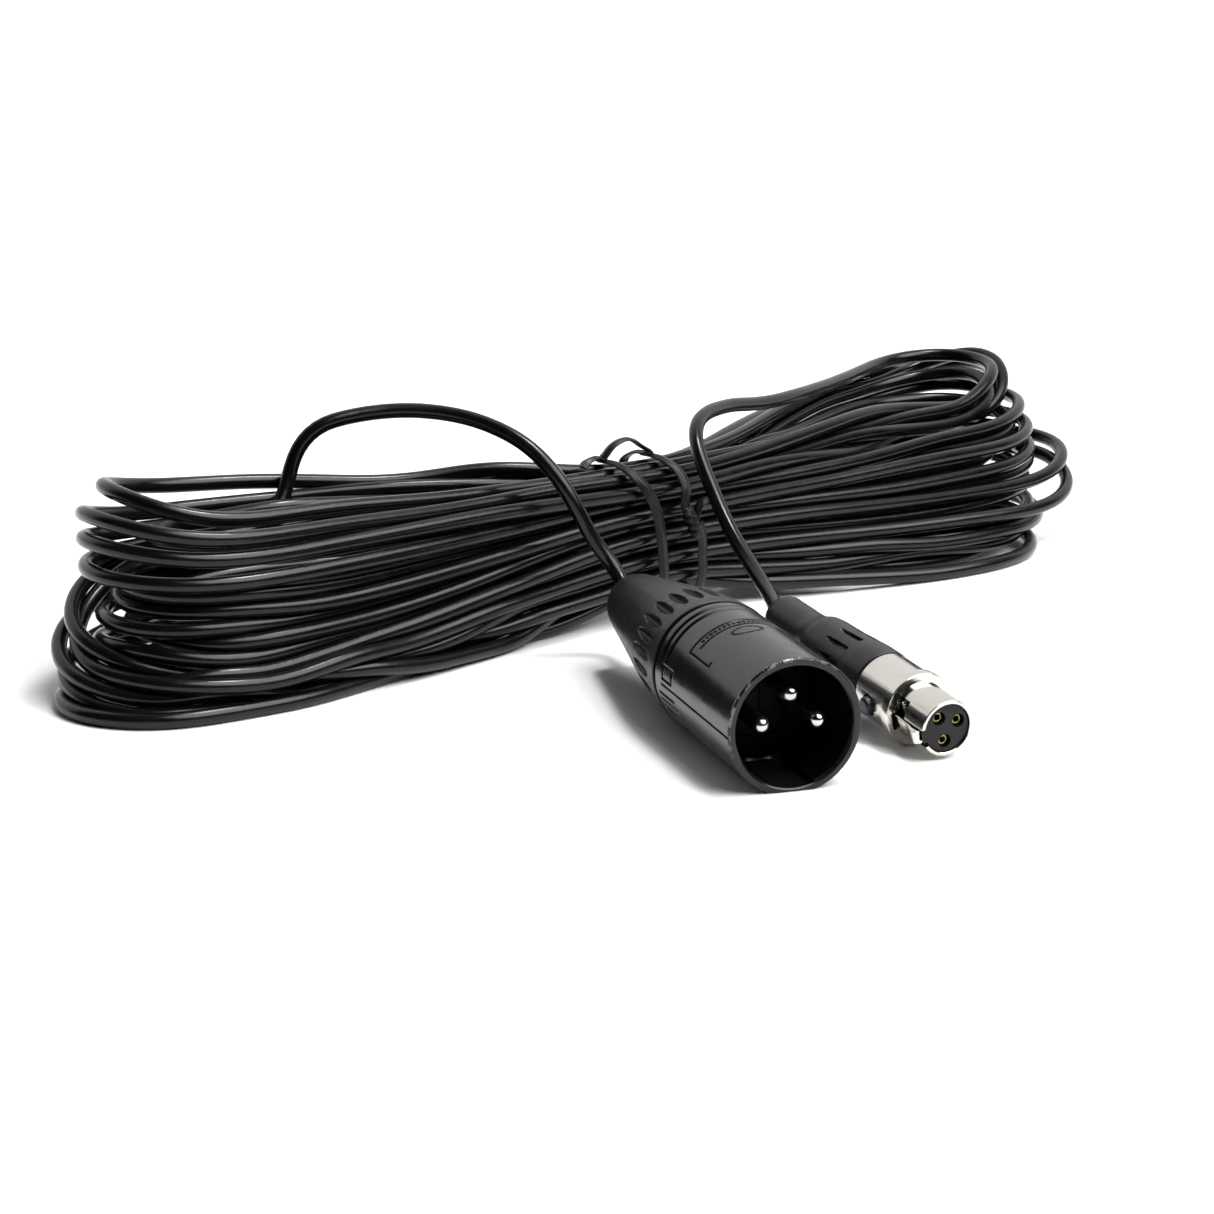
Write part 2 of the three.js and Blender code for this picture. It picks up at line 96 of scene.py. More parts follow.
def make_room():
    """A white wall behind, and a wide soft box high on the camera's side, to its right.
    The camera itself sees plain white."""
    world = bpy.data.worlds.new("studio")
    world.use_nodes = True
    nodes, links = world.node_tree.nodes, world.node_tree.links
    sky = nodes.new("ShaderNodeTexCoord").outputs["Generated"]

    def patch(direction, start, full, radiance):
        toward = nodes.new("ShaderNodeVectorMath")
        toward.operation = "DOT_PRODUCT"
        links.new(sky, toward.inputs[0])
        toward.inputs[1].default_value = direction
        ramp = nodes.new("ShaderNodeMapRange")
        ramp.interpolation_type = "SMOOTHSTEP"
        for slot, number in (("From Min", start), ("From Max", full), ("To Max", radiance)):
            ramp.inputs[slot].default_value = number
        links.new(toward.outputs["Value"], ramp.inputs["Value"])
        return ramp.outputs[0]

    total = nodes.new("ShaderNodeMath")
    total.operation = "ADD"
    links.new(patch(*BACK_WALL), total.inputs[0])
    links.new(patch(*SOFT_BOX), total.inputs[1])
    lights, plain = (nodes.new("ShaderNodeBackground") for _ in range(2))
    links.new(total.outputs[0], lights.inputs["Strength"])
    mix, path = nodes.new("ShaderNodeMixShader"), nodes.new("ShaderNodeLightPath")
    links.new(path.outputs["Is Camera Ray"], mix.inputs[0])
    for slot, shown in ((1, lights), (2, plain)):
        shown.inputs["Color"].default_value = (1, 1, 1, 1)
        links.new(shown.outputs[0], mix.inputs[slot])
    links.new(mix.outputs[0], nodes["World Output"].inputs["Surface"])
    scene.world = world
    scene.view_settings.view_transform = "Standard"


def make_floor():
    """A wide sheet of matt white paper."""
    mesh = bpy.data.meshes.new("floor")
    corners = [(x * FLOOR_HALF, y * FLOOR_HALF, 0) for x, y in ((-1, -1), (1, -1), (1, 1), (-1, 1))]
    mesh.from_pydata(corners, [], [(0, 1, 2, 3)])
    mat = bpy.data.materials.new("paper")
    mat.use_nodes = True
    paper = mat.node_tree.nodes["Principled BSDF"]
    paper.inputs["Base Color"].default_value = (0.88, 0.88, 0.88, 1)
    paper.inputs["Roughness"].default_value = 0.65
    paper.inputs["Specular IOR Level"].default_value = 0.2
    mesh.materials.append(mat)
    add_object("floor", mesh)


# ------- materials

class Look:
    """One procedural material, built up from object coordinates, which are in metres."""

    def __init__(self, name, colour, metallic=0.0, ior=1.35):
        self.mat = bpy.data.materials.new(name)
        self.mat.use_nodes = True
        self.nodes, self.links = self.mat.node_tree.nodes, self.mat.node_tree.links
        self.shader = self.nodes["Principled BSDF"]
        self.shader.inputs["Metallic"].default_value = metallic
        self.shader.inputs["IOR"].default_value = ior
        self.place = self.nodes.new("ShaderNodeTexCoord").outputs["Object"]
        self.colour = self.nodes.new("ShaderNodeRGB").outputs[0]
        self.colour.default_value = (*colour, 1)
        self.rough = None
        self.height = None

    def noise(self, scale, detail, stretch=(1, 1, 1)):
        """Noise from 0 to 1; scale is features per metre."""
        spot = self.nodes.new("ShaderNodeMapping")
        spot.inputs["Scale"].default_value = stretch
        self.links.new(self.place, spot.inputs["Vector"])
        node = self.nodes.new("ShaderNodeTexNoise")
        node.inputs["Scale"].default_value = scale
        node.inputs["Detail"].default_value = detail
        self.links.new(spot.outputs[0], node.inputs["Vector"])
        return node.outputs["Fac"]

    def span(self, value, low, high, to_low=0.0, to_high=1.0):
        """The value's stretch from low to high, spread over to_low to to_high."""
        node = self.nodes.new("ShaderNodeMapRange")
        for slot, number in zip(("From Min", "From Max", "To Min", "To Max"),
                                (low, high, to_low, to_high)):
            node.inputs[slot].default_value = number
        self.links.new(value, node.inputs["Value"])
        return node.outputs[0]

    def math(self, how, a, b):
        node = self.nodes.new("ShaderNodeMath")
        node.operation = how
        for slot, value in zip(node.inputs, (a, b)):
            if isinstance(value, (int, float)):
                slot.default_value = value
            else:
                self.links.new(value, slot)
        return node.outputs[0]

    def tint(self, mask, colour):
        """The colour turns to this one where the mask is 1."""
        node = self.nodes.new("ShaderNodeMix")
        node.data_type = "RGBA"
        self.links.new(mask, node.inputs["Factor"])
        self.links.new(self.colour, node.inputs["A"])
        node.inputs["B"].default_value = (*colour, 1)
        self.colour = node.outputs["Result"]

    def bump(self, height, depth_mm):
        node = self.nodes.new("ShaderNodeBump")
        node.inputs["Distance"].default_value = depth_mm * MM
        self.links.new(height, node.inputs["Height"])
        if self.height is not None:
            self.links.new(self.height, node.inputs["Normal"])
        self.height = node.outputs[0]

    def along(self, axis, origin_mm):
        """Distance in metres from a point in mm, along a direction."""
        shift = self.nodes.new("ShaderNodeVectorMath")
        shift.operation = "SUBTRACT"
        self.links.new(self.place, shift.inputs[0])
        shift.inputs[1].default_value = tuple(metres(origin_mm))
        dot = self.nodes.new("ShaderNodeVectorMath")
        dot.operation = "DOT_PRODUCT"
        self.links.new(shift.outputs[0], dot.inputs[0])
        dot.inputs[1].default_value = tuple(axis)
        return dot.outputs["Value"]

    def darken_recesses(self, colour, gloss):
        """Painted shade: where the mesh's recess value is 1 the colour is this dark one and the
        gloss is low.
        """
        node = self.nodes.new("ShaderNodeAttribute")
        node.attribute_name = "recess"
        self.tint(node.outputs["Fac"], colour)
        self.links.new(self.span(node.outputs["Fac"], 0, 1, 0.5, gloss),
                       self.shader.inputs["Specular IOR Level"])

    def done(self):
        for made, slot in ((self.colour, "Base Color"), (self.rough, "Roughness"),
                           (self.height, "Normal")):
            self.links.new(made, self.shader.inputs[slot])
        return self.mat


def jacket_look():
    """Satin flexible jacket: faint handling marks, a slightly uneven extruded skin."""
    look = Look("jacket", (0.0024, 0.0026, 0.0032), ior=1.36)
    look.tint(look.span(look.noise(90, 4), 0.48, 0.72), (0.0045, 0.0047, 0.0055))
    look.tint(look.span(look.noise(1400, 2), 0.70, 0.82, 0, 0.5), (0.02, 0.02, 0.021))
    look.rough = look.span(look.noise(260, 3), 0.3, 0.7, 0.18, 0.27)
    look.bump(look.noise(520, 3), 0.035)
    look.bump(look.noise(5200, 2), 0.006)
    return look.done()


def shell_look():
    """Satin black plating over a die casting, its rim chipped to bare metal only on the upper left,
    which is partly a painted glint.
    """
    look = Look("black_shell", (0.0050, 0.0052, 0.0060), ior=1.42)
    look.tint(look.span(look.noise(120, 4), 0.5, 0.75), (0.0075, 0.0077, 0.0085))
    rim = on_plug(0)
    x, z = look.along((1, 0, 0), rim), look.along(PLUG_UP, rim)
    square = look.math("ADD", look.math("MULTIPLY", x, x), look.math("MULTIPLY", z, z))
    # Bare metal shows next to the rim, outside, in patches, towards the upper left: real chips, and
    # a painted glint on the side where the light falls.
    worn_and_glint = look.span(look.along(PLUG_AXIS, rim), 0.00025, 0.00060, 1, 0)
    for mask in (look.span(look.math("SQRT", square, 0), 0.00905, 0.00930),
                 look.span(look.noise(900, 4), 0.50, 0.58),
                 look.span(look.along((-0.6, 0, 0.8), rim), 0.0010, 0.0075)):
        worn_and_glint = look.math("MULTIPLY", worn_and_glint, mask)
    look.tint(worn_and_glint, (0.16, 0.15, 0.135))
    look.tint(look.span(look.noise(2600, 2), 0.76, 0.80, 0, 0.6), (0.09, 0.088, 0.085))
    # Painted shade in the marks, the seam, the rear edge and the bore.
    look.darken_recesses((0.0012, 0.0012, 0.0014), 0.03)
    look.rough = look.span(look.noise(420, 4), 0.3, 0.7, 0.15, 0.23)
    look.bump(look.noise(4200, 2), 0.010)
    look.bump(look.noise(900, 3), 0.02)
    return look.done()


def boot_look():
    """Matt soft moulding with a fine grain."""
    look = Look("boot", (0.0060, 0.0062, 0.0070), ior=1.40)
    look.tint(look.span(look.noise(150, 4), 0.45, 0.75), (0.0090, 0.0092, 0.0102))
    look.tint(look.span(look.noise(2200, 2), 0.72, 0.80, 0, 0.5), (0.03, 0.029, 0.028))
    # Painted shade in the flutes and at the edge that faces the shell.
    look.darken_recesses((0.0016, 0.0016, 0.0018), 0.12)
    look.rough = look.span(look.noise(600, 4), 0.3, 0.7, 0.32, 0.45)
    look.bump(look.noise(3800, 3), 0.018)
    return look.done()


def plastic_look(name, colour, rough, ior):
    """Moulded plastic: slightly cloudy, with a fine grain."""
    look = Look(name, colour, ior=ior)
    look.tint(look.span(look.noise(400, 4), 0.5, 0.8), tuple(c * 1.5 for c in colour))
    look.rough = look.span(look.noise(900, 3), 0.3, 0.7, rough - 0.06, rough + 0.08)
    look.bump(look.noise(3500, 2), 0.012)
    return look.done()


def metal_look(name, colour, rough, dull, stretch):
    """Plated metal: cloudy tarnish, small dark specks, uneven gloss, fine turning marks."""
    look = Look(name, colour, metallic=1.0)
    look.tint(look.span(look.noise(260, 4), 0.52, 0.75), tuple(c * dull for c in colour))
    look.tint(look.span(look.noise(2400, 3), 0.70, 0.80, 0, 0.7), tuple(c * 0.3 for c in colour))
    look.rough = look.span(look.noise(700, 4), 0.3, 0.7, rough * 0.75, rough * 1.5)
    look.bump(look.noise(1800, 3, stretch), 0.006)
    return look.done()


PLASTICS = {                         # colour, roughness, index of refraction
    "black_plastic": ((0.0060, 0.0060, 0.0068), 0.45, 1.35),
    # Painted shade: the next one is black plastic made darker and less glossy, for the insert deep
    # in the bore.
    "shaded_black_plastic": ((0.0016, 0.0016, 0.0019), 0.45, 1.16),
    "white_plastic": ((0.72, 0.71, 0.67), 0.42, 1.35),
    "grey_plastic": ((0.014, 0.0145, 0.017), 0.36, 1.35),
    "core_red": ((0.45, 0.02, 0.015), 0.42, 1.35),
    "tie": ((0.0040, 0.0042, 0.0048), 0.38, 1.35),
}
METALS = {                           # colour, roughness, dull patches, stretch of the marks
    "nickel": ((0.67, 0.65, 0.595), 0.13, 0.93, (1, 9, 1)),
    "silver": ((0.60, 0.60, 0.59), 0.18, 0.85, (1, 1, 1)),
    "gold": ((0.38, 0.29, 0.12), 0.26, 0.6, (1, 1, 1)),
    "copper": ((0.75, 0.38, 0.20), 0.25, 0.55, (1, 1, 1)),
}


# ------- frames of the plugs

DIP = math.radians(1.21)  # the large plug's nose rests a little lower than its tail
MINI_AT, MINI_YAW, MINI_PITCH = (24.93, 5.85, 4.59), math.radians(6.15), math.radians(5.5)
PLUG_FRAME = Matrix.Translation((0, 0, 8.9)) @ Matrix.Rotation(DIP, 4, "X")
MINI_FRAME = (Matrix.Translation(MINI_AT) @ Matrix.Rotation(MINI_YAW, 4, "Z")
              @ Matrix.Rotation(MINI_PITCH, 4, "X"))
PLUG_AXIS = PLUG_FRAME.to_3x3() @ Vector((0, 1, 0))
PLUG_UP = PLUG_FRAME.to_3x3() @ Vector((0, 0, 1))


def on_plug(t):
    """The point t mm behind the large plug's front rim, on its axis."""
    return np.array(PLUG_FRAME @ Vector((0, t, 0)))


def on_mini(t):
    return np.array(MINI_FRAME @ Vector((0, t, 0)))


# ------- coordinates of the hank
# s runs along the hank from the tie, u across it towards the back, and z is up.

TIE_AT = np.array([13.7, 95.6])
ANGLE_LEFT, ANGLE_RIGHT, BEND_HALF = math.radians(14.2), math.radians(26.8), 22.0
SPINE_STEP, SPINE_REACH = 0.25, 130


def spine_angle(s):
    """The hank's direction on the floor, which turns smoothly as it passes the tie."""
    f = np.clip((np.asarray(s, float) + BEND_HALF) / (2 * BEND_HALF), 0, 1)
    return ANGLE_LEFT + (ANGLE_RIGHT - ANGLE_LEFT) * f * f * (3 - 2 * f)


SPINE_S = np.arange(-SPINE_REACH, SPINE_REACH + SPINE_STEP, SPINE_STEP)
SPINE_WAY = np.stack([np.cos(spine_angle(SPINE_S)), np.sin(spine_angle(SPINE_S))], 1)
SPINE_XY = np.cumsum(SPINE_WAY, 0) * SPINE_STEP
SPINE_XY += TIE_AT - SPINE_XY[len(SPINE_S) // 2]
ACROSS_TIE = (ANGLE_LEFT + ANGLE_RIGHT) / 2
TIE_S = np.array([math.cos(ACROSS_TIE), math.sin(ACROSS_TIE)])
TIE_U = np.array([-TIE_S[1], TIE_S[0]])


def on_hank(points):
    """Points (s, u, z) of the hank, seen from the large plug's rim."""
    p = np.asarray(points, float)
    s, u = p[..., 0], p[..., 1]
    angle = spine_angle(s)
    x = np.interp(s, SPINE_S, SPINE_XY[:, 0]) - u * np.sin(angle)
    y = np.interp(s, SPINE_S, SPINE_XY[:, 1]) + u * np.cos(angle)
    return np.stack([x, y, p[..., 2]], -1)


def hank_direction(at_s, direction):
    """A direction (s, u, z) at a place along the hank, turned to x, y and z."""
    ds, du, dz = direction
    c, k = math.cos(spine_angle(at_s)), math.sin(spine_angle(at_s))
    return np.array([ds * c - du * k, ds * k + du * c, dz])


def smooth_line(points, step):
    """A centripetal Catmull-Rom line through the points, sampled about every step."""
    p = np.asarray(points, float)
    p = np.vstack([2 * p[0] - p[1], p, 2 * p[-1] - p[-2]])
    out = []
    for i in range(1, len(p) - 2):
        p0, p1, p2, p3 = p[i - 1:i + 3]
        d1, d2, d3 = (max(np.linalg.norm(b - a), 1e-6) ** 0.5
                      for a, b in ((p0, p1), (p1, p2), (p2, p3)))
        m1 = d2 * ((p1 - p0) / d1 - (p2 - p0) / (d1 + d2) + (p2 - p1) / d2)
        m2 = d2 * ((p2 - p1) / d2 - (p3 - p1) / (d2 + d3) + (p3 - p2) / d3)
        t = np.linspace(0, 1, max(2, int(d2 * d2 / step * 2)), endpoint=False)[:, None]
        out.append((2 * t**3 - 3 * t**2 + 1) * p1 + (t**3 - 2 * t**2 + t) * m1
                   + (3 * t**2 - 2 * t**3) * p2 + (t**3 - t**2) * m2)
    out.append(p[-2:-1])
    return np.vstack(out)


def line_length(points):
    return float(np.linalg.norm(np.diff(points, axis=0), axis=1).sum())


def even(points, step):
    """The same line at equal steps of about this length."""
    at = np.r_[0, np.cumsum(np.linalg.norm(np.diff(points, axis=0), axis=1))]
    want = np.linspace(0, at[-1], int(round(at[-1] / step)) + 1)
    return np.stack([np.interp(want, at, points[:, k]) for k in range(3)], 1)


# ------- winding of the hank
# Every turn is a narrow loop through the tie. An end of a turn is (tip s, middle u, half
# width, z at the side it comes from, z at the tip, z at the side it returns on).

OUTER_TURNS = [
    ((-104, -3.5, 13.5, 1.3, 1.3, 1.3), (86, -3, 19, 1.6, 4.0, 2.0)),
    ((-102, -1, 15, 9.0, 4.0, 2.6), (88, -1, 17, 3.0, 4.6, 3.2)),
    ((-102, 0, 15.5, 12.5, 6.0, 2.6), (93, -1, 18, 5.4, 7.4, 5.6)),
    ((-100.5, 0, 15, 15.0, 7.5, 4.0), (98.6, -2.5, 17.5, 10.4, 15.2, 11.8)),
    ((-99, 1, 15, 16.5, 10.0, 5.0), (92, 1, 15, 10.8, 13.0, 11.8)),
    ((-98, 0, 14, 7.4, 7.4, 6.4), (102, 2, 17, 13.6, 16.8, 14.4)),
    ((-91, 0, 14, 11.6, 11.6, 11.0), (96, 2, 15.5, 16.2, 18.6, 16.6)),
    ((-92, 0, 14, 15.6, 16.0, 15.6), (97, 4, 15, 18.4, 20.6, 19.0)),
    ((-97, 0, 14, 19.8, 20.8, 20.0), (100, 8, 14.5, 20.4, 25.2, 22.0)),
    ((-97, 0, 14, 21.2, 25.0, 23.2), (102.5, 13, 11.5, 22.6, 28.8, 24.6)),
    ((-97, 2, 14, 23.2, 28.8, 26.2), (103, 12.5, 11.5, 23.4, 29.4, 25.6)),
]
INNER_TURNS = [
    ((-80, -4, 10, 4.0, 4.4, 4.0), (84, 0, 16, 3.6, 4.2, 3.6)),
    ((-89, -1, 11.5, 5.6, 6.6, 5.0), (92, 0, 15.5, 7.4, 8.4, 7.4)),
    ((-96, 0, 13.5, 9.5, 9.5, 9.0), (84, 2, 13, 10.4, 11.4, 10.4)),
    ((-95, 1, 13, 13.2, 13.6, 13.2), (96, 2, 15, 13.4, 15.6, 13.8)),
    ((-92, 1, 12.5, 17.4, 17.4, 17.0), (88, 4, 13, 17.0, 18.2, 17.4)),
    ((-79, 5, 8.5, 20.2, 20.8, 20.2), (95, 7, 13, 19.6, 23.0, 21.0)),
    ((-85, 5, 9, 22.6, 23.4, 22.2), (96, 11, 11.5, 22.4, 27.2, 24.6)),
]
TOP_TURN = ((-91.5, 7, 12, 28.5, 32.2, 27.4), (99, 12, 10.5, 24.0, 30.0, 29.0))
INNER_ORDER = (5, 6, 4, 3, 2, 1, 0)
LOWEST_ROW, ROW_PITCH = 5.0, 1.93    # heights of the outer strands inside the tie
ROW_U = (3.4, 5.3)                   # how far from the middle they pass, taken in turn
INNER_LOW, INNER_PITCH = 5.6, 2.9    # the same heights for the strands inside those
INNER_U, INNER_RISE = 1.2, 0.6
TOP_FRONT, TOP_REAR, TOP_LIFT = (-1.2, 24.4), (1.4, 24.4), 2.2
MOUTH = 6.5                          # half length of the tight part under the tie

# The leads, from inside each plug to where they join the hank.
PLUG_LEAD = [on_plug(t) for t in (42, 50, 58, 66)] + [
    [0.5, 69.6, 10.9], [0.4, 72.3, 12.6], [-0.7, 73.9, 14.7], [-3.3, 74.7, 18.3],
    [-5.3, 75.3, 22.6], [-7.6, 76.8, 27.0], [-11.4, 81.8, 31.9], [-17.6, 88.4, 35.0],
    [-23.9, 92.1, 36.1], [-30.0, 94.1, 36.2], [-35.8, 94.8, 35.6], [-41.0, 94.8, 34.5],
    [-44.6, 94.9, 32.6], [-45.7, 95.3, 30.8], [-45.5, 95.5, 29.3], [-45.3, 95.6, 27.8]]
MINI_LEAD = [on_mini(t) for t in (21.8, 30, 40, 48.6)] + [
    [21.2, 60.6, 9.8], [22.0, 66.4, 10.7], [22.1, 71.6, 12.5], [21.6, 77.2, 15.4],
    [21.2, 81.8, 18.5], [20.8, 86.2, 22.2], [20.4, 90.2, 26.0], [20.9, 93.8, 29.0],
    [22.8, 97.7, 30.6], [26.2, 101.9, 31.2], [31.1, 106.8, 31.0], [37.4, 112.0, 30.4]]

# Where the first lead dives in among the turns, and where the last turn comes back to
# meet the second lead, both as (s, u, z).
DIVE = [(-58.2, 14.6, 25.2), (-60.6, 13.8, 22.4), (-65, 12.6, 21.0)]
TOP_RETURN = [(68, 16.5, 28.9), (56, 12.5, 29.2), (45, 8.5, 29.9)]

# How an end fans out from the tie: (share of the way to its round part, share of its width).
FAN = ((0.30, 0.26), (0.55, 0.62), (0.80, 0.92))


def end_loop(end, leave, come, lift=1.0):
    """From the tie at (u, z) = leave, round one end of the hank, back to the tie at come:
    4 points out, 5 round the end and 4 back. A lift above 1 keeps it low near the tie."""
    tip, mid, half, z_out, z_tip, z_back = end
    way = math.copysign(1, tip)
    side = half if leave[0] >= come[0] else -half
    shoulder = tip - way * half

    def run(at_tie, edge, z_edge):
        (u, z) = at_tie
        fanned = [(share * shoulder, u + (edge - u) * f, z + (z_edge - z) * f**lift)
                  for share, f in FAN]
        return [(way * MOUTH, u, z)] + fanned

    def bend(ahead, aside, z):
        return (shoulder + way * ahead * half, mid + aside * side, z)

    out = run(leave, mid + side, z_out)
    out += [bend(0.12, 0.99, z_out), bend(0.72, 0.70, (z_out + z_tip) / 2)]
    back = run(come, mid - side, z_back)
    back += [bend(0.12, -0.99, z_back), bend(0.72, -0.70, (z_back + z_tip) / 2)]
    return out + [(tip, mid, z_tip)] + back[::-1]


def turns():
    """Each turn in winding order: its ends, and where it passes the tie, front and rear."""
    made = []
    for j in INNER_ORDER:
        z = INNER_LOW + INNER_PITCH * j
        made.append((INNER_TURNS[j], (-INNER_U, z), (INNER_U, z + INNER_RISE)))
    for k, ends in enumerate(OUTER_TURNS):
        u, z = ROW_U[k % 2], LOWEST_ROW + ROW_PITCH * k
        made.append((ends, (-u, z), (u, z)))
    return made + [(TOP_TURN, TOP_FRONT, TOP_REAR)]


def guide_line():
    """Control points of the whole cable, from the large plug to the miniature one."""
    wound = turns()
    last = len(wound) - 1
    line = list(DIVE)
    for i, ((left, right), front, rear) in enumerate(wound):
        if i == 0:   # the lead joins half way round
            line += end_loop(left, rear, front)[5:]
        else:
            line += end_loop(left, rear, front, TOP_LIFT if i == last else 1.0)
        if i == last:
            line += end_loop(right, front, rear)[:9] + TOP_RETURN
        else:
            line += end_loop(right, front, wound[i + 1][2])
    return np.vstack([PLUG_LEAD, on_hank(line), MINI_LEAD[::-1]])


# ------- settling of the cable
# The tie holds the strands in a rounded oblong section, which opens out past its edges.

STRAND = 2 * CORD_R
TIE_HALF_U, TIE_HALF_Z, TIE_CORNER, TIE_MID_Z = 6.2, 9.75, 5.2, 14.65
TIE_REACH, TIE_TIGHT, TIE_FLARE_U, TIE_FLARE_Z = 9, 5, 0.35, 0.105
OVER_TIE = 28.6                      # a strand above this passes outside the tie
PULL, SAG, STIFFNESS = 0.03, 0.006, 0.05
ROUNDS, LOOK_EVERY, LOOK_PAST = 400, 8, 1.6   # how often and how far near strands are found
NEIGHBOUR = 3.2                      # strand widths along the cable that can't touch
ROUTE_STEP = 3.0
LEAD_FREE = (9, 3)                   # how much of each lead's inner end may move
DRIFT_EVERY, DRIFT = 52.0, (0.4, 1.5, 1.25)   # drift along s, along u and in height
DRIFT_SEED, DRIFT_PASSES = 7, 6
TIE_FADE, END_FADE = (12, 25), (200, 60)      # mm without drift, and mm until it is full


def near_pairs(x, reach, skip):
    """Segments whose middles are within reach, at least skip segments apart on the line."""
    mid = (x[1:] + x[:-1]) / 2
    sq, first, second, block = (mid**2).sum(1), [], [], 400
    for a in range(0, len(mid), block):
        gap = sq[a:a + block, None] + sq[None, a:] - 2 * mid[a:a + block] @ mid[a:].T
        i, j = np.nonzero(gap < reach * reach)
        keep = j - i > skip
        first.append(i[keep] + a)
        second.append(j[keep] + a)
    return np.concatenate(first), np.concatenate(second)


def closest(x, i, j):
    """Where segments i and j come closest: shares along each, offset and distance."""
    p, r = x[i], x[j]
    d1, d2, w = x[i + 1] - p, x[j + 1] - r, p - r
    a, e, f = (d1 * d1).sum(1), (d2 * d2).sum(1), (d2 * w).sum(1)
    c, b = (d1 * w).sum(1), (d1 * d2).sum(1)
    den = a * e - b * b
    s = np.where(den > 1e-9, np.clip((b * f - c * e) / np.maximum(den, 1e-9), 0, 1), 0.5)
    t = np.clip((b * s + f) / e, 0, 1)
    s = np.clip((b * t - c) / a, 0, 1)
    v = (p + s[:, None] * d1) - (r + t[:, None] * d2)
    return s, t, v, np.sqrt((v * v).sum(1))


def part_strands(x, free, i, j):
    """Pushes touching strands apart to one cable width."""
    s, t, v, gap = closest(x, i, j)
    hit = gap < STRAND
    i, j, s, t, gap = i[hit], j[hit], s[hit], t[hit], gap[hit]
    way = v[hit] / np.maximum(gap, 1e-6)[:, None]
    give = ((1 - s)**2 * free[i] + s**2 * free[i + 1]
            + (1 - t)**2 * free[j] + t**2 * free[j + 1])
    push = ((STRAND - gap) / np.maximum(give, 1e-6))[:, None] * way
    total, weight = np.zeros_like(x), np.zeros(len(x))
    for spot, share, sign in ((i, 1 - s, 1), (i + 1, s, 1), (j, 1 - t, -1), (j + 1, t, -1)):
        moved = sign * share[:, None] * push * free[spot][:, None]
        for k in range(3):
            total[:, k] += np.bincount(spot, moved[:, k], len(x))
        weight += np.bincount(spot, share * share, len(x))
    return x + total / np.maximum(weight, 1.0)[:, None]


def hold_in_tie(x, free):
    """Keeps the strands inside the tie's rounded section."""
    rel = x[:, :2] - TIE_AT
    s = rel @ TIE_S
    held = (np.abs(s) < TIE_REACH) & (free > 0) & (x[:, 2] < OVER_TIE)
    u, z = (rel @ TIE_U)[held], x[held, 2] - TIE_MID_Z
    past = np.maximum(np.abs(s[held]) - TIE_TIGHT, 0)
    half_u = TIE_HALF_U + TIE_FLARE_U * past - TIE_CORNER
    half_z = TIE_HALF_Z + TIE_FLARE_Z * past - TIE_CORNER
    over_u, over_z = np.maximum(np.abs(u) - half_u, 0), np.maximum(np.abs(z) - half_z, 0)
    reach = np.hypot(over_u, over_z)
    f = TIE_CORNER / np.maximum(reach, 1e-9)
    out = reach > TIE_CORNER
    new_u = np.where(out, np.sign(u) * (np.minimum(np.abs(u), half_u) + over_u * f), u)
    new_z = np.where(out, np.sign(z) * (np.minimum(np.abs(z), half_z) + over_z * f), z)
    x[held, :2] += (new_u - u)[:, None] * TIE_U
    x[held, 2] += new_z - z


def hold_length(x, free, step):
    """Brings every other segment back to one step long, and then those between them."""
    for first in (0, 1):
        a = np.arange(first, len(x) - 1, 2)
        d = x[a + 1] - x[a]
        size = np.maximum(np.linalg.norm(d, axis=1), 1e-9)
        give = free[a] + free[a + 1]
        fix = np.where(give > 0, (size - step) / size / np.maximum(give, 1e-6), 0)[:, None] * d
        x[a] += fix * free[a, None]
        x[a + 1] -= fix * free[a + 1, None]


def settle(x, guide, free, step):
    """Lets the strands push apart, sag and straighten until they lie together."""
    w = free[:, None]
    for turn in range(ROUNDS):
        x = x + w * PULL * (1 - turn / ROUNDS) * (guide - x)
        x[:, 2] -= free * SAG
        bend = np.zeros_like(x)
        bend[2:-2] = x[:-4] - 4 * x[1:-3] + 6 * x[2:-2] - 4 * x[3:-1] + x[4:]
        x = x - w * STIFFNESS * bend
        if turn % LOOK_EVERY == 0:
            reach, skip = step + STRAND + LOOK_PAST, math.ceil(NEIGHBOUR * STRAND / step)
            i, j = near_pairs(x, reach, skip)
        for _ in range(2):
            x = part_strands(x, free, i, j)
            hold_in_tie(x, free)
            x[:, 2] = np.where(free > 0, np.maximum(x[:, 2], CORD_R), x[:, 2])
            hold_length(x, free, step)
    return x


def wander(guide, step):
    """Small uneven drifts of the turns, which fade out towards the tie and the leads."""
    along = np.arange(len(guide)) * step
    knots = np.arange(0, along[-1] + DRIFT_EVERY, DRIFT_EVERY)
    drift = np.random.RandomState(DRIFT_SEED).uniform(-1, 1, (len(knots), 3)) * DRIFT
    off = np.stack([np.interp(along, knots, drift[:, k]) for k in range(3)], 1)
    for _ in range(DRIFT_PASSES):
        off[1:-1] = (off[:-2] + 2 * off[1:-1] + off[2:]) / 4
    from_tie = np.abs((guide[:, :2] - TIE_AT) @ TIE_S)
    from_end = np.minimum(along, along[-1] - along)

    def fade(gap, still, over):
        return np.clip((gap - still) / over, 0, 1)

    off *= (fade(from_tie, *TIE_FADE) * fade(from_end, *END_FADE))[:, None]
    moved = guide.copy()
    moved[:, :2] += off[:, :1] * TIE_S + off[:, 1:2] * TIE_U
    moved[:, 2] = np.maximum(moved[:, 2] + off[:, 2], CORD_R)
    return moved


def cable_route():
    """The centreline of the whole cable at even steps, in mm."""
    guide = even(smooth_line(guide_line(), ROUTE_STEP), ROUTE_STEP)
    step = line_length(guide) / (len(guide) - 1)
    guide = wander(guide, step)
    along = np.arange(len(guide)) * step
    first, second = (line_length(smooth_line(lead, step)) - loose
                     for lead, loose in zip((PLUG_LEAD, MINI_LEAD), LEAD_FREE))
    pinned = (along < first) | (along > along[-1] - second)
    return settle(guide.copy(), guide, (~pinned).astype(float), step)


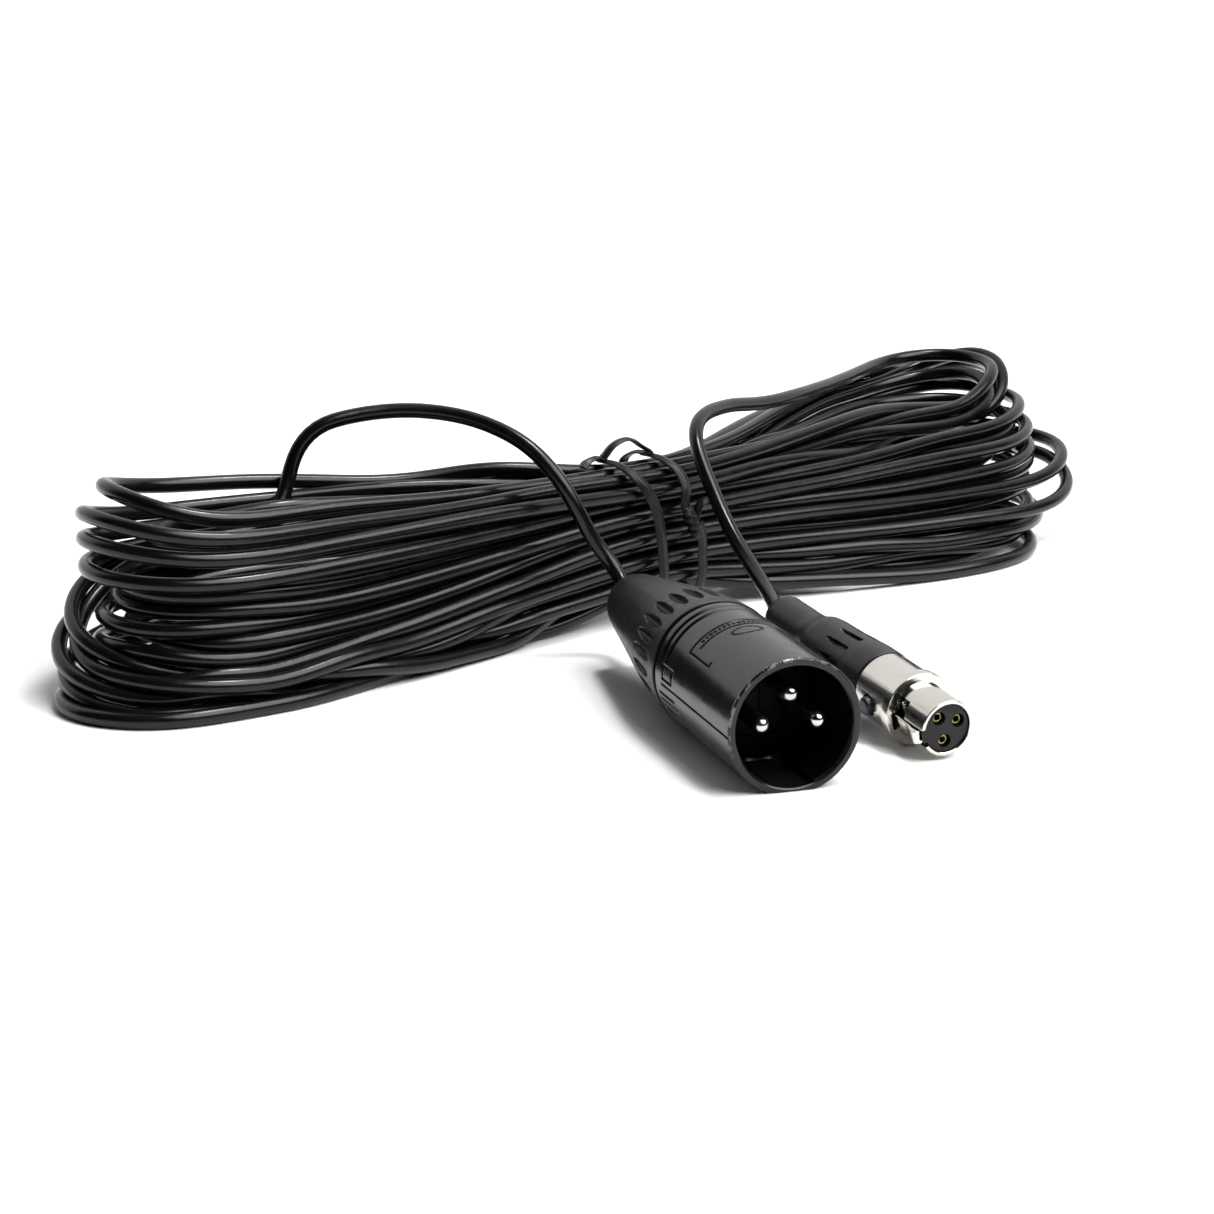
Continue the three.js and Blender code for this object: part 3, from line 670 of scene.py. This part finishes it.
def make_cord(route, jacket):
    data = bpy.data.curves.new("cable", "CURVE")
    data.dimensions, data.resolution_u = "3D", 2
    line = data.splines.new("NURBS")
    line.points.add(len(route) - 1)
    line.points.foreach_set("co", np.c_[metres(route), np.ones(len(route))].ravel())
    line.order_u, line.use_endpoint_u = 4, True
    data.bevel_depth, data.bevel_resolution = CORD_R * MM, 5
    data.use_fill_caps = True
    data.materials.append(jacket)
    cable = add_object("cable_whole", data)
    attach(cable, "cable")
    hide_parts("hank", "xlr_lead", "mini_lead")
    return cable


# ------- making pieces

SHARP = 32   # degrees; the shading stays smooth over a softer edge


def mesh_of(name, shape, matrix):
    """A mesh of the shape's points and faces, placed by the matrix, all faces outwards."""
    points, faces = shape
    m = np.array(matrix)
    placed = metres(np.asarray(points, float) @ m[:3, :3].T + m[:3, 3])
    mesh = bpy.data.meshes.new(name)
    mesh.from_pydata(placed.tolist(), [], [list(map(int, f)) for f in faces])
    work = bmesh.new()
    work.from_mesh(mesh)
    bmesh.ops.recalc_face_normals(work, faces=work.faces)
    work.to_mesh(mesh)
    work.free()
    return mesh


def shade(mesh, sharp=SHARP):
    mesh.shade_smooth()
    mesh.set_sharp_from_angle(angle=math.radians(sharp))


def piece(name, shape, look, slot_name, matrix=Matrix(), node=None, body="cable",
          sharp=SHARP, recess=None):
    """A mesh piece that stands for the CAD node, if there is one. recess says how deep
    each point lies in a mark, from 0 to 1, for the material to darken as painted shade."""
    mesh = mesh_of(name, shape, matrix)
    mesh.materials.append(look)
    if recess is not None:
        mesh.attributes.new("recess", "FLOAT", "POINT").data.foreach_set("value", recess)
    shade(mesh, sharp)
    made = add_object(name, mesh)
    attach(made, body)
    if node:
        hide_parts(node)
    return made


def stand_in(node, shape, look, slot_name, matrix, **more):
    return piece(node + "_look", shape, look, slot_name, matrix, node, **more)


def softened(profile, radius, closed=True, arc=4):
    """The profile (t, r) with each real corner rounded to about this radius."""
    p = [np.array(q, float) for q in profile]
    out = []
    for i, q in enumerate(p):
        if not closed and i in (0, len(p) - 1):
            out.append(q)
            continue
        a, b = p[i - 1] - q, p[(i + 1) % len(p)] - q
        la, lb = np.linalg.norm(a), np.linalg.norm(b)
        turn = math.pi - math.acos(max(-1, min(1, float(a @ b) / (la * lb))))
        cut = min(radius * math.tan(turn / 2), 0.45 * la, 0.45 * lb)
        if turn < math.radians(14) or cut < 0.01:
            out.append(q)
            continue
        start, end = q + a / la * cut, q + b / lb * cut
        for f in np.linspace(0, 1, arc):
            out.append((1 - f)**2 * start + 2 * f * (1 - f) * q + f * f * end)
    return np.array(out)


def rows_between(profile, step, closed=True):
    """The profile with its long straight runs split into steps."""
    out = []
    count = len(profile) if closed else len(profile) - 1
    for i in range(count):
        a, b = profile[i], profile[(i + 1) % len(profile)]
        n = max(1, int(np.linalg.norm(b - a) / step))
        out += [a + (b - a) * k / n for k in range(n)]
    if not closed:
        out.append(profile[-1])
    return np.array(out)


def lathe(profile, columns, step=None, shape=None, closed=True):
    """Points and faces of a piece turned about the plug axis. profile is (t, r); where
    shape is given, shape(angle, t, r) returns the changed radius."""
    rows = rows_between(profile, step, closed) if step else np.asarray(profile)
    angle = np.arange(columns) * 2 * math.pi / columns
    t = np.repeat(rows[:, :1], columns, 1)
    r = np.repeat(rows[:, 1:], columns, 1)
    if shape:
        r = shape(np.repeat(angle[None, :], len(rows), 0), t, r)
    points = np.stack([r * np.cos(angle), t, r * np.sin(angle)], -1).reshape(-1, 3)
    n, faces = len(rows), []
    for i in range(n if closed else n - 1):
        a, b = i * columns, ((i + 1) % n) * columns
        for j in range(columns):
            k = (j + 1) % columns
            faces.append((a + j, a + k, b + k, b + j))
    if not closed:
        faces.append(tuple(range(columns))[::-1])
        faces.append(tuple(range((n - 1) * columns, n * columns)))
    return points, faces


def turned(outline, radius, columns, arc=4):
    """A solid piece turned from an outline (t, r) that starts and ends near the axis."""
    return lathe(softened(outline, radius, False, arc), columns, closed=False)


def carve(target, *cutters):
    """Cuts the cutters out of the target for good."""
    for cutter in cutters:
        cut = target.modifiers.new("cut", "BOOLEAN")
        cut.operation, cut.object, cut.solver = "DIFFERENCE", cutter, "EXACT"
    shaped = bpy.data.meshes.new_from_object(
        target.evaluated_get(bpy.context.evaluated_depsgraph_get()))
    target.modifiers.clear()
    old, target.data = target.data, shaped
    bpy.data.meshes.remove(old)
    for cutter in cutters:
        mesh = cutter.data
        bpy.data.objects.remove(cutter)
        bpy.data.meshes.remove(mesh)
    shade(shaped)


def cutter(matrix, shape):
    return add_object("cutter", mesh_of("cutter", shape, matrix))


def spin(degrees):
    """Turns a shape made on the +X side of a plug's axis round to an angle, 90 = up."""
    return Matrix.Rotation(-math.radians(degrees), 4, "Y")


def block(x, t, z):
    """Corners and faces of a box between pairs of x, t and z."""
    points = [(a, b, c) for a in x for b in t for c in z]
    faces = [(0, 1, 3, 2), (4, 6, 7, 5), (0, 4, 5, 1), (2, 3, 7, 6), (0, 2, 6, 4), (1, 5, 7, 3)]
    return points, faces


def drum(radius, length, matrix, sides=48):
    """A cylinder about its frame's Y axis, centred on the frame's origin."""
    outline = [(-length / 2, radius), (length / 2, radius)]
    return cutter(matrix, lathe(outline, sides, closed=False))


def rounded_copy(node, look, body="cable", bevel=0.05):
    """A piece made from a CAD node's own shape, with its edges rounded."""
    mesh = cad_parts[node].data.copy()
    mesh.materials.clear()
    mesh.materials.append(look)
    work = bmesh.new()
    work.from_mesh(mesh)
    bmesh.ops.remove_doubles(work, verts=work.verts, dist=2e-6)
    bmesh.ops.dissolve_limit(work, angle_limit=math.radians(0.8), verts=work.verts,
                             edges=work.edges)
    bmesh.ops.recalc_face_normals(work, faces=work.faces)
    work.to_mesh(mesh)
    work.free()
    mesh.shade_smooth()
    made = add_object(node + "_look", mesh)
    rim = made.modifiers.new("edge", "BEVEL")
    rim.width, rim.segments, rim.angle_limit = bevel * MM, 2, math.radians(35)
    rim.harden_normals = True
    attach(made, body)
    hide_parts(node)
    return made


# ------- the large plug

SHELL_R, SHELL_END, SHELL_FLAT = 9.5, 28.3, 8.9
RINGS_T = (24.7, 26.5)
# The blank label frame's lines: (angle, t, span in degrees, rise in mm).
LABEL_FRAME = ((99.5, 19.3, 91, 0), (95.5, 17.4, 83, 0), (145, 15.8, 0, 7.0),
               (54, 15.8, 0, 7.0), (143, 12.2, 4, 0), (56, 12.2, 4, 0))
SEAM_ANGLE, SEAM_END = 184, 25.8
SIDE_BARS, BARS_END = ((193, 21.2), (200, 20.4), (207, 22.0)), 26.8   # (angle, first t)
FLUTES, FLUTE_T, FLUTE_HALF = 24, 35.9, 4.0


def arc_gap(angle, t, r, at_angle, at_t, span=0.0, rise=0.0):
    """Distance in mm from a short straight mark on the shell, span degrees by rise mm."""
    half = math.radians(span) / 2
    across = (angle - math.radians(at_angle) + math.pi) % (2 * math.pi) - math.pi
    a = np.maximum(np.abs(across) - half, 0) * r
    b = np.maximum(np.abs(t - at_t) - rise / 2, 0)
    return np.hypot(a, b)


def groove(gap, half_width, depth):
    return depth * np.clip(1 - (gap / half_width)**4, 0, 1)


def shell_relief(angle, t, r):
    """Depth of the outer face's marks: two rings, a blank label frame with ticks and an
    oval, the mould seam, bars and a square beside it, and the chipped rim."""
    degrees = np.degrees(angle)
    top = np.clip((degrees - 8) / 14, 0, 1) * np.clip((166 - degrees) / 14, 0, 1)
    marks = [top * groove(np.abs(t - at), 0.42, 0.50) for at in RINGS_T]
    marks += [groove(arc_gap(angle, t, r, *line), 0.17, 0.14) for line in LABEL_FRAME]
    for tick in range(17):
        wide = 1.1 + 0.5 * (tick % 3)
        gap = arc_gap(angle, t, r, 62 + 4.3 * tick, 18.35, wide, 0.55)
        marks.append(groove(gap, 0.15, 0.10))
    oval = np.hypot((degrees - 97) / 13, (t - 14.9) / 1.25)
    marks.append(groove(np.abs(oval - 1) * 1.6, 0.24, 0.09))
    seam = groove(np.abs(degrees - SEAM_ANGLE) * math.radians(1) * r, 0.13, 0.12)
    marks.append(np.where(t < SEAM_END, seam, 0))
    for at, start in SIDE_BARS:
        gap = arc_gap(angle, t, r, at, (start + BARS_END) / 2, 0, BARS_END - start)
        marks.append(groove(gap, 0.25, 0.20))
    square = np.maximum(np.abs(degrees - 173) / 5.5, np.abs(t - 23.6) / 1.7)
    marks.append(groove(np.abs(square - 1) * 1.2, 0.22, 0.13))
    chips = (np.sin(angle * 61 + 1.3) * np.sin(angle * 23 + 0.4) * np.sin(angle * 11))**2
    return np.max(marks, 0) + np.where(t < 0.35, 0.10 * chips * (1 - t / 0.35), 0)


def shell_shape(angle, t, r):
    """The shell's marks, its flat underneath and the keyway inside."""
    outer = r > 9.15
    shaped = np.where(outer, r - shell_relief(angle, t, r), r)
    down = -np.sin(angle)
    x = np.abs(shaped * np.cos(angle))
    flat = SHELL_FLAT / np.maximum(down, 1e-3)
    shaped = np.where(outer & (down > 0.5), np.minimum(shaped, flat), shaped)
    keyway = (r < 8.5) & (down > 0.5) & (x < 3.0) & (t > 0.22) & (t < 12.5) & (r > 8.0)
    return np.where(keyway, np.maximum(shaped, 8.5 / np.maximum(down, 1e-3)), shaped)


def around(points):
    """Angle, t and r of points in a plug's frame."""
    x, t, z = np.asarray(points).T
    return np.arctan2(z, x) % (2 * math.pi), t, np.hypot(x, z)


def shell_recess(points):
    """Painted shade: 1 in the marks, the seam and the shell's rear edge, and most of that in the
    bore.
    """
    angle, t, r = around(points)
    marks = np.clip(shell_relief(angle, t, np.full_like(r, SHELL_R)) / 0.08, 0, 1)
    marks = np.where(t > SHELL_END - 0.15, 1, marks)
    return np.where((r > 8.7) & (t > 0.4), marks, np.where((r < 8.28) & (t > 0.6), 0.85, 0))


def make_shell(look):
    profile = softened([
        (0, 8.66), (0, 9.28), (0.08, 9.42), (0.24, SHELL_R), (SHELL_END, SHELL_R),
        (SHELL_END, 8.1), (34.5, 8.1), (34.5, 6.9), (25.4, 6.9), (25.2, 8.25), (0.9, 8.25),
        (0.45, 8.29), (0.14, 8.46)], 0.12)
    shape = lathe(profile, 540, 0.2, shell_shape)
    return stand_in("xlr_shell", shape, look, "black_shell", PLUG_FRAME, sharp=50,
                    recess=shell_recess(shape[0]))


def flute_depth(angle, t, r):
    """Slender flutes round the grip, deepest towards the shell."""
    depth = np.zeros_like(r)
    for i in range(FLUTES):
        middle = 2 * math.pi * (i + 0.5) / FLUTES
        across = (angle - middle + math.pi) % (2 * math.pi) - math.pi
        along = (t - FLUTE_T) / FLUTE_HALF
        wide = 0.76 * (1 - 0.15 * along)
        inside = np.clip(1 - (across * r / wide)**2 - along**2, 0, 1)
        depth += 0.90 * inside**0.55 * (1 - 0.2 * along)
    return depth


def boot_shape(angle, t, r):
    return r - np.where((t < 45) & (r > 8.0), flute_depth(angle, t, r), 0)


def boot_recess(points):
    """Painted shade: grows with depth in the flutes, and is 1 at the edge that faces the shell."""
    angle, t, r = around(points)
    marks = np.clip(flute_depth(angle, t, np.full_like(r, 9.0)) * 0.8, 0, 1)
    marks = np.where(t < 29.15, 1, marks)
    return np.where(r > 7.2, marks, 0)


def make_boot(look):
    outline = [(29.05, 8.5), (29.05, 9.38), (29.25, 9.56), (31, 9.48), (34, 9.28), (37, 9.02),
               (40, 8.6), (43, 8.12), (46, 7.6), (49, 7.1), (52, 6.6), (55, 6.12), (58, 5.65),
               (60, 5.32), (62, 4.98), (63.4, 4.6), (64.4, 4.1), (65, 3.3), (65, 1.55),
               (61, 1.55), (58.8, 3.4), (47, 5.4), (38, 6.2), (35.1, 6.2), (35.1, 8.5)]
    shape = lathe(softened(outline, 0.15), 540, 0.22, boot_shape)
    return stand_in("xlr_boot", shape, look, "boot", PLUG_FRAME, sharp=60,
                    recess=boot_recess(shape[0]))


PIN_PLACES = [(-4.0, 0.0), (4.0, 0.0), (0.0, 4.0)]


def make_pins(look):
    """Pins with round tips, their rear ends bored out to solder cups."""
    dome = [(1.3, 0.02), (1.33, 0.25), (1.42, 0.5), (1.6, 0.78), (1.85, 1.0), (2.15, 1.13)]
    rear = [(2.5, 1.2), (25.6, 1.2), (25.8, 1.05), (30, 1.05), (30, 0.7), (27.4, 0.7),
            (27.4, 0.02)]
    shape = lathe(dome + rear, 48, closed=False)
    for i, (x, z) in enumerate(PIN_PLACES):
        stand_in(f"xlr_pin_{i + 1}", shape, look, "silver",
                 PLUG_FRAME @ Matrix.Translation((x, 0, z)), sharp=45)


def make_insert(look):
    disc = turned([(13.5, 0.01), (13.5, 7.9), (25.0, 7.9), (25.0, 0.01)], 0.3, 128)
    insert = stand_in("xlr_insert", disc, look, "black_plastic", PLUG_FRAME)
    wells = [drum(1.5, 14, PLUG_FRAME @ Matrix.Translation((x, 19.3, z)), 40)
             for x, z in PIN_PLACES]
    trenches = [cutter(PLUG_FRAME, block((-6.2, 6.2), (12, 14.0), (-5.25, -4.8))),
                cutter(PLUG_FRAME, block((-0.25, 0.25), (12, 13.75), (-3.6, 2.2)))]
    carve(insert, *wells, *trenches)


# ------- the miniature plug

BUTTON_T, BUTTON_R = 13.2, 1.3
SOCKET_CIRCLE = 1.95
SOCKETS = [(SOCKET_CIRCLE * math.cos(a), SOCKET_CIRCLE * math.sin(a))
           for a in map(math.radians, (132, 25, 266))]
LATCH_FRAME = MINI_FRAME @ spin(197)
BUTTON_FRAME = MINI_FRAME @ spin(190)
QUARTER = math.pi / 2


def make_mini_shell(look):
    outline = [(0, 3.5), (0, 4.05), (7.4, 4.05), (7.4, 5.34), (9.2, 5.34), (9.2, 5.0),
               (16.7, 5.0), (16.7, 4.25), (20.5, 4.25), (20.5, 3.6), (15.7, 3.6), (15.3, 4.2),
               (10.2, 4.2), (9.5, 3.5)]
    shell = stand_in("mini_shell", lathe(softened(outline, 0.22), 180), look, "nickel",
                     MINI_FRAME)
    hole = BUTTON_FRAME @ Matrix.Translation((5, BUTTON_T, 0))
    carve(shell,
          cutter(LATCH_FRAME, block((2.6, 4.55), (-1, 10.4), (-1.3, 1.3))),
          cutter(LATCH_FRAME, block((2.0, 4.55), (4.9, 7.35), (-3.3, 1.2))),
          cutter(LATCH_FRAME, block((2.6, 4.1), (14.7, 19.5), (-1.4, 1.4))),
          drum(BUTTON_R + 0.3, 4, hole @ Matrix.Rotation(QUARTER, 4, "Z")))
    return shell


def make_mini_insert(look):
    disc = turned([(0.35, 0.01), (0.35, 3.4), (10.5, 3.4), (10.5, 0.01)], 0.08, 128)
    insert = stand_in("mini_insert", disc, look, "black_plastic", MINI_FRAME)
    wells = [drum(0.97, 14, MINI_FRAME @ Matrix.Translation((x, 5, z)), 32)
             for x, z in SOCKETS]
    relief = cutter(LATCH_FRAME, block((2.0, 4.5), (0.8, 12), (-3.2, 1.6)))
    carve(insert, *wells, relief)
    key = piece("mini_key_look", block((2.9, 3.8), (0.4, 0.7), (-0.9, 0.9)), look,
                "black_plastic", LATCH_FRAME)
    edge = key.modifiers.new("edge", "BEVEL")
    edge.width, edge.segments = 0.08 * MM, 2


def make_sockets(look):
    barrel = turned([(8.6, 0.01), (8.6, 0.46), (0.95, 0.46), (0.95, 0.70), (14.6, 0.70),
                     (14.6, 0.01)], 0.07, 48)
    for i, (x, z) in enumerate(SOCKETS):
        stand_in(f"mini_socket_{i + 1}", barrel, look, "gold",
                 MINI_FRAME @ Matrix.Translation((x, 0, z)))


def make_button(look):
    cap = turned([(3.65, 0.01), (3.65, BUTTON_R), (5.62, BUTTON_R), (5.78, 0.9),
                  (5.82, 0.01)], 0.3, 64, arc=6)
    place = BUTTON_FRAME @ Matrix.Translation((0, BUTTON_T, 0))
    stand_in("mini_button", cap, look, "grey_plastic",
             place @ Matrix.Rotation(-QUARTER, 4, "Z"), body="button")


def coil_path(radius, turns_made, start, end, count=160):
    """A helix about +Y between two distances back."""
    f = np.linspace(0, 1, count)
    a = 2 * math.pi * turns_made * f
    return np.stack([radius * np.cos(a), start + (end - start) * f, radius * np.sin(a)], 1)


def sweep(path, section, faces_out):
    """A section (x across, y outwards) carried along a path whose outward side is given."""
    tangent = np.gradient(path, axis=0)
    tangent /= np.linalg.norm(tangent, axis=1)[:, None]
    across = np.cross(tangent, faces_out)
    across /= np.linalg.norm(across, axis=1)[:, None]
    out = np.cross(across, tangent)
    section = np.asarray(section, float)
    points = (path[:, None] + section[None, :, :1] * across[:, None]
              + section[None, :, 1:] * out[:, None]).reshape(-1, 3)
    m, faces = len(section), []
    for i in range(len(path) - 1):
        for j in range(m):
            k = (j + 1) % m
            faces.append((i * m + j, i * m + k, (i + 1) * m + k, (i + 1) * m + j))
    faces.append(tuple(range(m))[::-1])
    faces.append(tuple(range((len(path) - 1) * m, len(path) * m)))
    return points, faces


def round_section(radius, sides):
    a = np.arange(sides) * 2 * math.pi / sides
    return np.stack([radius * np.cos(a), radius * np.sin(a)], 1)


def make_spring(look):
    path = coil_path(0.27, 3.5, 1.2, 2.75)
    wire = sweep(path, round_section(0.10, 10), path * [1, 0, 1])
    place = LATCH_FRAME @ Matrix.Translation((2.5, 6.5, 0))
    stand_in("mini_spring", wire, look, "silver", place @ Matrix.Rotation(-QUARTER, 4, "X"))


def mini_boot_shape(angle, t, r):
    """Twelve slots that deepen towards the nose."""
    shaped = r.copy()
    for i in range(12):
        across = (angle - math.radians(30 * i + 10) + math.pi) % (2 * math.pi) - math.pi
        gap = np.abs(across) * r
        along = np.clip((t - 23.0) / 0.4, 0, 1) * np.clip((29.2 - t) / 2.4, 0, 1)
        wall = np.clip((0.40 - 0.16 * np.clip((t - 26) / 3, 0, 1) - gap) / 0.10, 0, 1)
        shaped -= np.where((r > 4.3) & (t > 22), 0.85 * wall * along**0.7, 0)
    return shaped


def make_mini_boot(look):
    outline = [(17.0, 4.6), (17.0, 5.05), (21, 5.05), (24.5, 4.86), (28, 4.66), (33.2, 4.55),
               (34.6, 4.4), (35.8, 4.0), (37.2, 3.62), (39, 3.5), (46.6, 3.46), (48, 2.9),
               (48, 1.55), (26.6, 1.55), (25.8, 2.9), (22, 2.9), (20.9, 4.55)]
    shape = lathe(softened(outline, 0.4), 360, 0.15, mini_boot_shape)
    return stand_in("mini_boot", shape, look, "boot", MINI_FRAME, sharp=60)


# ------- the wire tie
# A flat plastic strip with a wire down its middle, wound twice round the hank.

TIE_SECTION = [(-1.0, 0.0), (-0.92, 0.14), (-0.42, 0.20), (-0.22, 0.36), (0.0, 0.42),
               (0.22, 0.36), (0.42, 0.20), (0.92, 0.14), (1.0, 0.0), (0.92, -0.14),
               (0.0, -0.18), (-0.92, -0.14)]
TIE_SHARP = 70


def away(point):
    """Outwards from the middle of the hank at a point (s, u, z) of the tie."""
    _, u, z = point
    a, b = u / 7.5, (z - TIE_MID_Z) / 11.0
    a, b = math.copysign(abs(a)**5, a), math.copysign(abs(b)**5, b)
    size = math.hypot(a, b) + 1e-9
    return (0, a / size, b / size)


def strip(name, look, knots, outward=None, width=1.0, node=None):
    """A strip of the tie through knots (s, u, z)."""
    outward = outward or [away(k) for k in knots]
    line = smooth_line(on_hank(knots), 0.4)
    marks = [int(np.argmin(((line - on_hank(k))**2).sum(1))) for k in knots]
    if len(set(marks)) < len(marks):
        marks = np.linspace(0, len(line) - 1, len(knots)).astype(int)
        marks[-1] = len(line) - 1
    facing = np.array([hank_direction(k[0], d) for k, d in zip(knots, outward)])
    spread = np.stack([np.interp(np.arange(len(line)), marks, facing[:, k])
                       for k in range(3)], 1)
    section = [(x * width, y) for x, y in TIE_SECTION]
    piece(name, sweep(line, section, spread), look, "tie", node=node, sharp=TIE_SHARP)


def make_tie(look):
    left = [(-9.0, 1, 26.0), (-8.7, -3, 26.0), (-8.0, -6.4, 24.7), (-6.7, -8.0, 22.4),
            (-5.4, -8.1, 20.0), (-4.6, -8.1, 17.6), (-4.1, -8.1, 15.0), (-3.7, -8.1, 11.5),
            (-3.4, -8.0, 7.4), (-3.2, -6.8, 4.2), (-3.0, -3.5, 3.0), (-3.0, 2, 2.9),
            (-3.0, 6.4, 4.4), (-4.0, 8.0, 8.0), (-5.8, 8.1, 14), (-7.6, 8.0, 20),
            (-8.4, 6.8, 24.2), (-8.9, 3.6, 25.9), (-9.0, 0.4, 26.1)]
    right = [(0.1, 1.5, 26.0), (0.15, -2.5, 25.9), (0.7, -6.3, 24.3), (0.8, -8.1, 21.8),
             (0.3, -8.5, 19.4), (0.4, -9.2, 17.6)]
    lower = [(2.6, -9.0, 15.8), (3.8, -8.4, 13.8), (4.2, -8.2, 10), (4.4, -7.9, 6.6),
             (4.4, -6.6, 4.1), (4.2, -3.0, 3.0), (3.8, 2, 2.9), (3.2, 6.4, 4.4),
             (2.6, 8.0, 8), (1.6, 8.1, 14), (0.7, 8.0, 20), (0.3, 6.8, 24.2),
             (0.1, 3.6, 25.9), (0.1, 0.8, 26.2)]
    arch = [(-9.9, 0.2, 26.2), (-9.0, 0, 27.2), (-7.7, 0, 28.4), (-5.4, 0, 29.2),
            (-3.4, 0, 28.7), (-1.7, 0, 27.6), (0.0, 0, 26.6)]
    arch_out = [(-0.9, 0, 0.4), (-0.8, 0, 0.6), (-0.5, 0, 0.85), (0, 0, 1), (0.35, 0, 0.92),
                (0.5, 0, 0.85), (0.5, 0, 0.85)]
    curl = [(1.5, -9.3, 15.6), (1.5, -9.6, 17.4), (2.2, -9.6, 18.9), (3.8, -9.3, 19.6),
            (5.9, -8.6, 19.2)]
    curl_out = [(-1, -0.4, 0), (-1, -0.4, 0.1), (-0.7, -0.4, 0.7), (0, -0.4, 1),
                (0.3, -0.4, 0.9)]
    stub = [(-9.6, -0.2, 26.3), (-11.4, -0.6, 27.0), (-13.0, -1.0, 26.7), (-14.3, -1.3, 25.9)]
    strip("tie_left_look", look, left, node="tie_wrap_left")
    strip("tie_right_look", look, right, node="tie_wrap_right")
    strip("tie_lower_look", look, lower)
    strip("tie_arch_look", look, arch, arch_out, node="tie_bridge")
    strip("tie_curl_look", look, curl, curl_out, width=0.75)
    strip("tie_stub_look", look, stub, [(0, 0, 1)] * len(stub), width=0.8)
    make_twist(look)


def make_twist(look):
    """The tie's two ends, wound round each other."""
    start, end = np.array([0.1, -9.4, 18.4]), np.array([1.9, -9.4, 14.2])
    section = [(x * 0.7, y * 1.5) for x, y in TIE_SECTION]
    f = np.linspace(0, 1, 90)
    for i, node in enumerate(("tie_twist", None)):
        turn = 2 * math.pi * (1.75 * f + 0.5 * i)
        facing = np.stack([np.cos(turn), np.sin(turn), 0 * f], 1)
        line = on_hank(start + (end - start) * f[:, None] + 0.62 * facing)
        piece(f"tie_twist_{i + 1}_look", sweep(line, section, facing), look, "tie", node=node,
              sharp=TIE_SHARP)


# ------- everything

make_camera()
looks = {"jacket": jacket_look(), "black_shell": shell_look(), "boot": boot_look()}
for name, finish in PLASTICS.items():
    looks[name] = plastic_look(name, *finish)
for name, finish in METALS.items():
    looks[name] = metal_look(name, *finish)

cable = make_cord(cable_route(), looks["jacket"])
big_shell = make_shell(looks["black_shell"])
big_boot = make_boot(looks["boot"])
small_shell = make_mini_shell(looks["nickel"])
small_boot = make_mini_boot(looks["boot"])
make_room()
make_top_box()
make_floor()
make_pins(looks["silver"])
# The large plug's insert gets the black plastic darkened as painted shade.
make_insert(looks["shaded_black_plastic"])
make_mini_insert(looks["black_plastic"])
make_sockets(looks["gold"])
make_button(looks["grey_plastic"])
make_spring(looks["silver"])
rounded_copy("mini_latch", looks["nickel"], body="latch", bevel=0.1)
rounded_copy("xlr_ground_tab", looks["silver"])
make_tie(looks["tie"])

INSIDE = {"xlr_chuck": "white_plastic", "mini_clamp": "nickel"}
for core, slot_name in (("white", "white_plastic"), ("red", "core_red"), ("drain", "copper")):
    INSIDE |= {"xlr_core_" + core: slot_name, "mini_core_" + core: slot_name}
for node, slot_name in INSIDE.items():
    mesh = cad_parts[node].data
    mesh.materials.clear()
    mesh.materials.append(looks[slot_name])
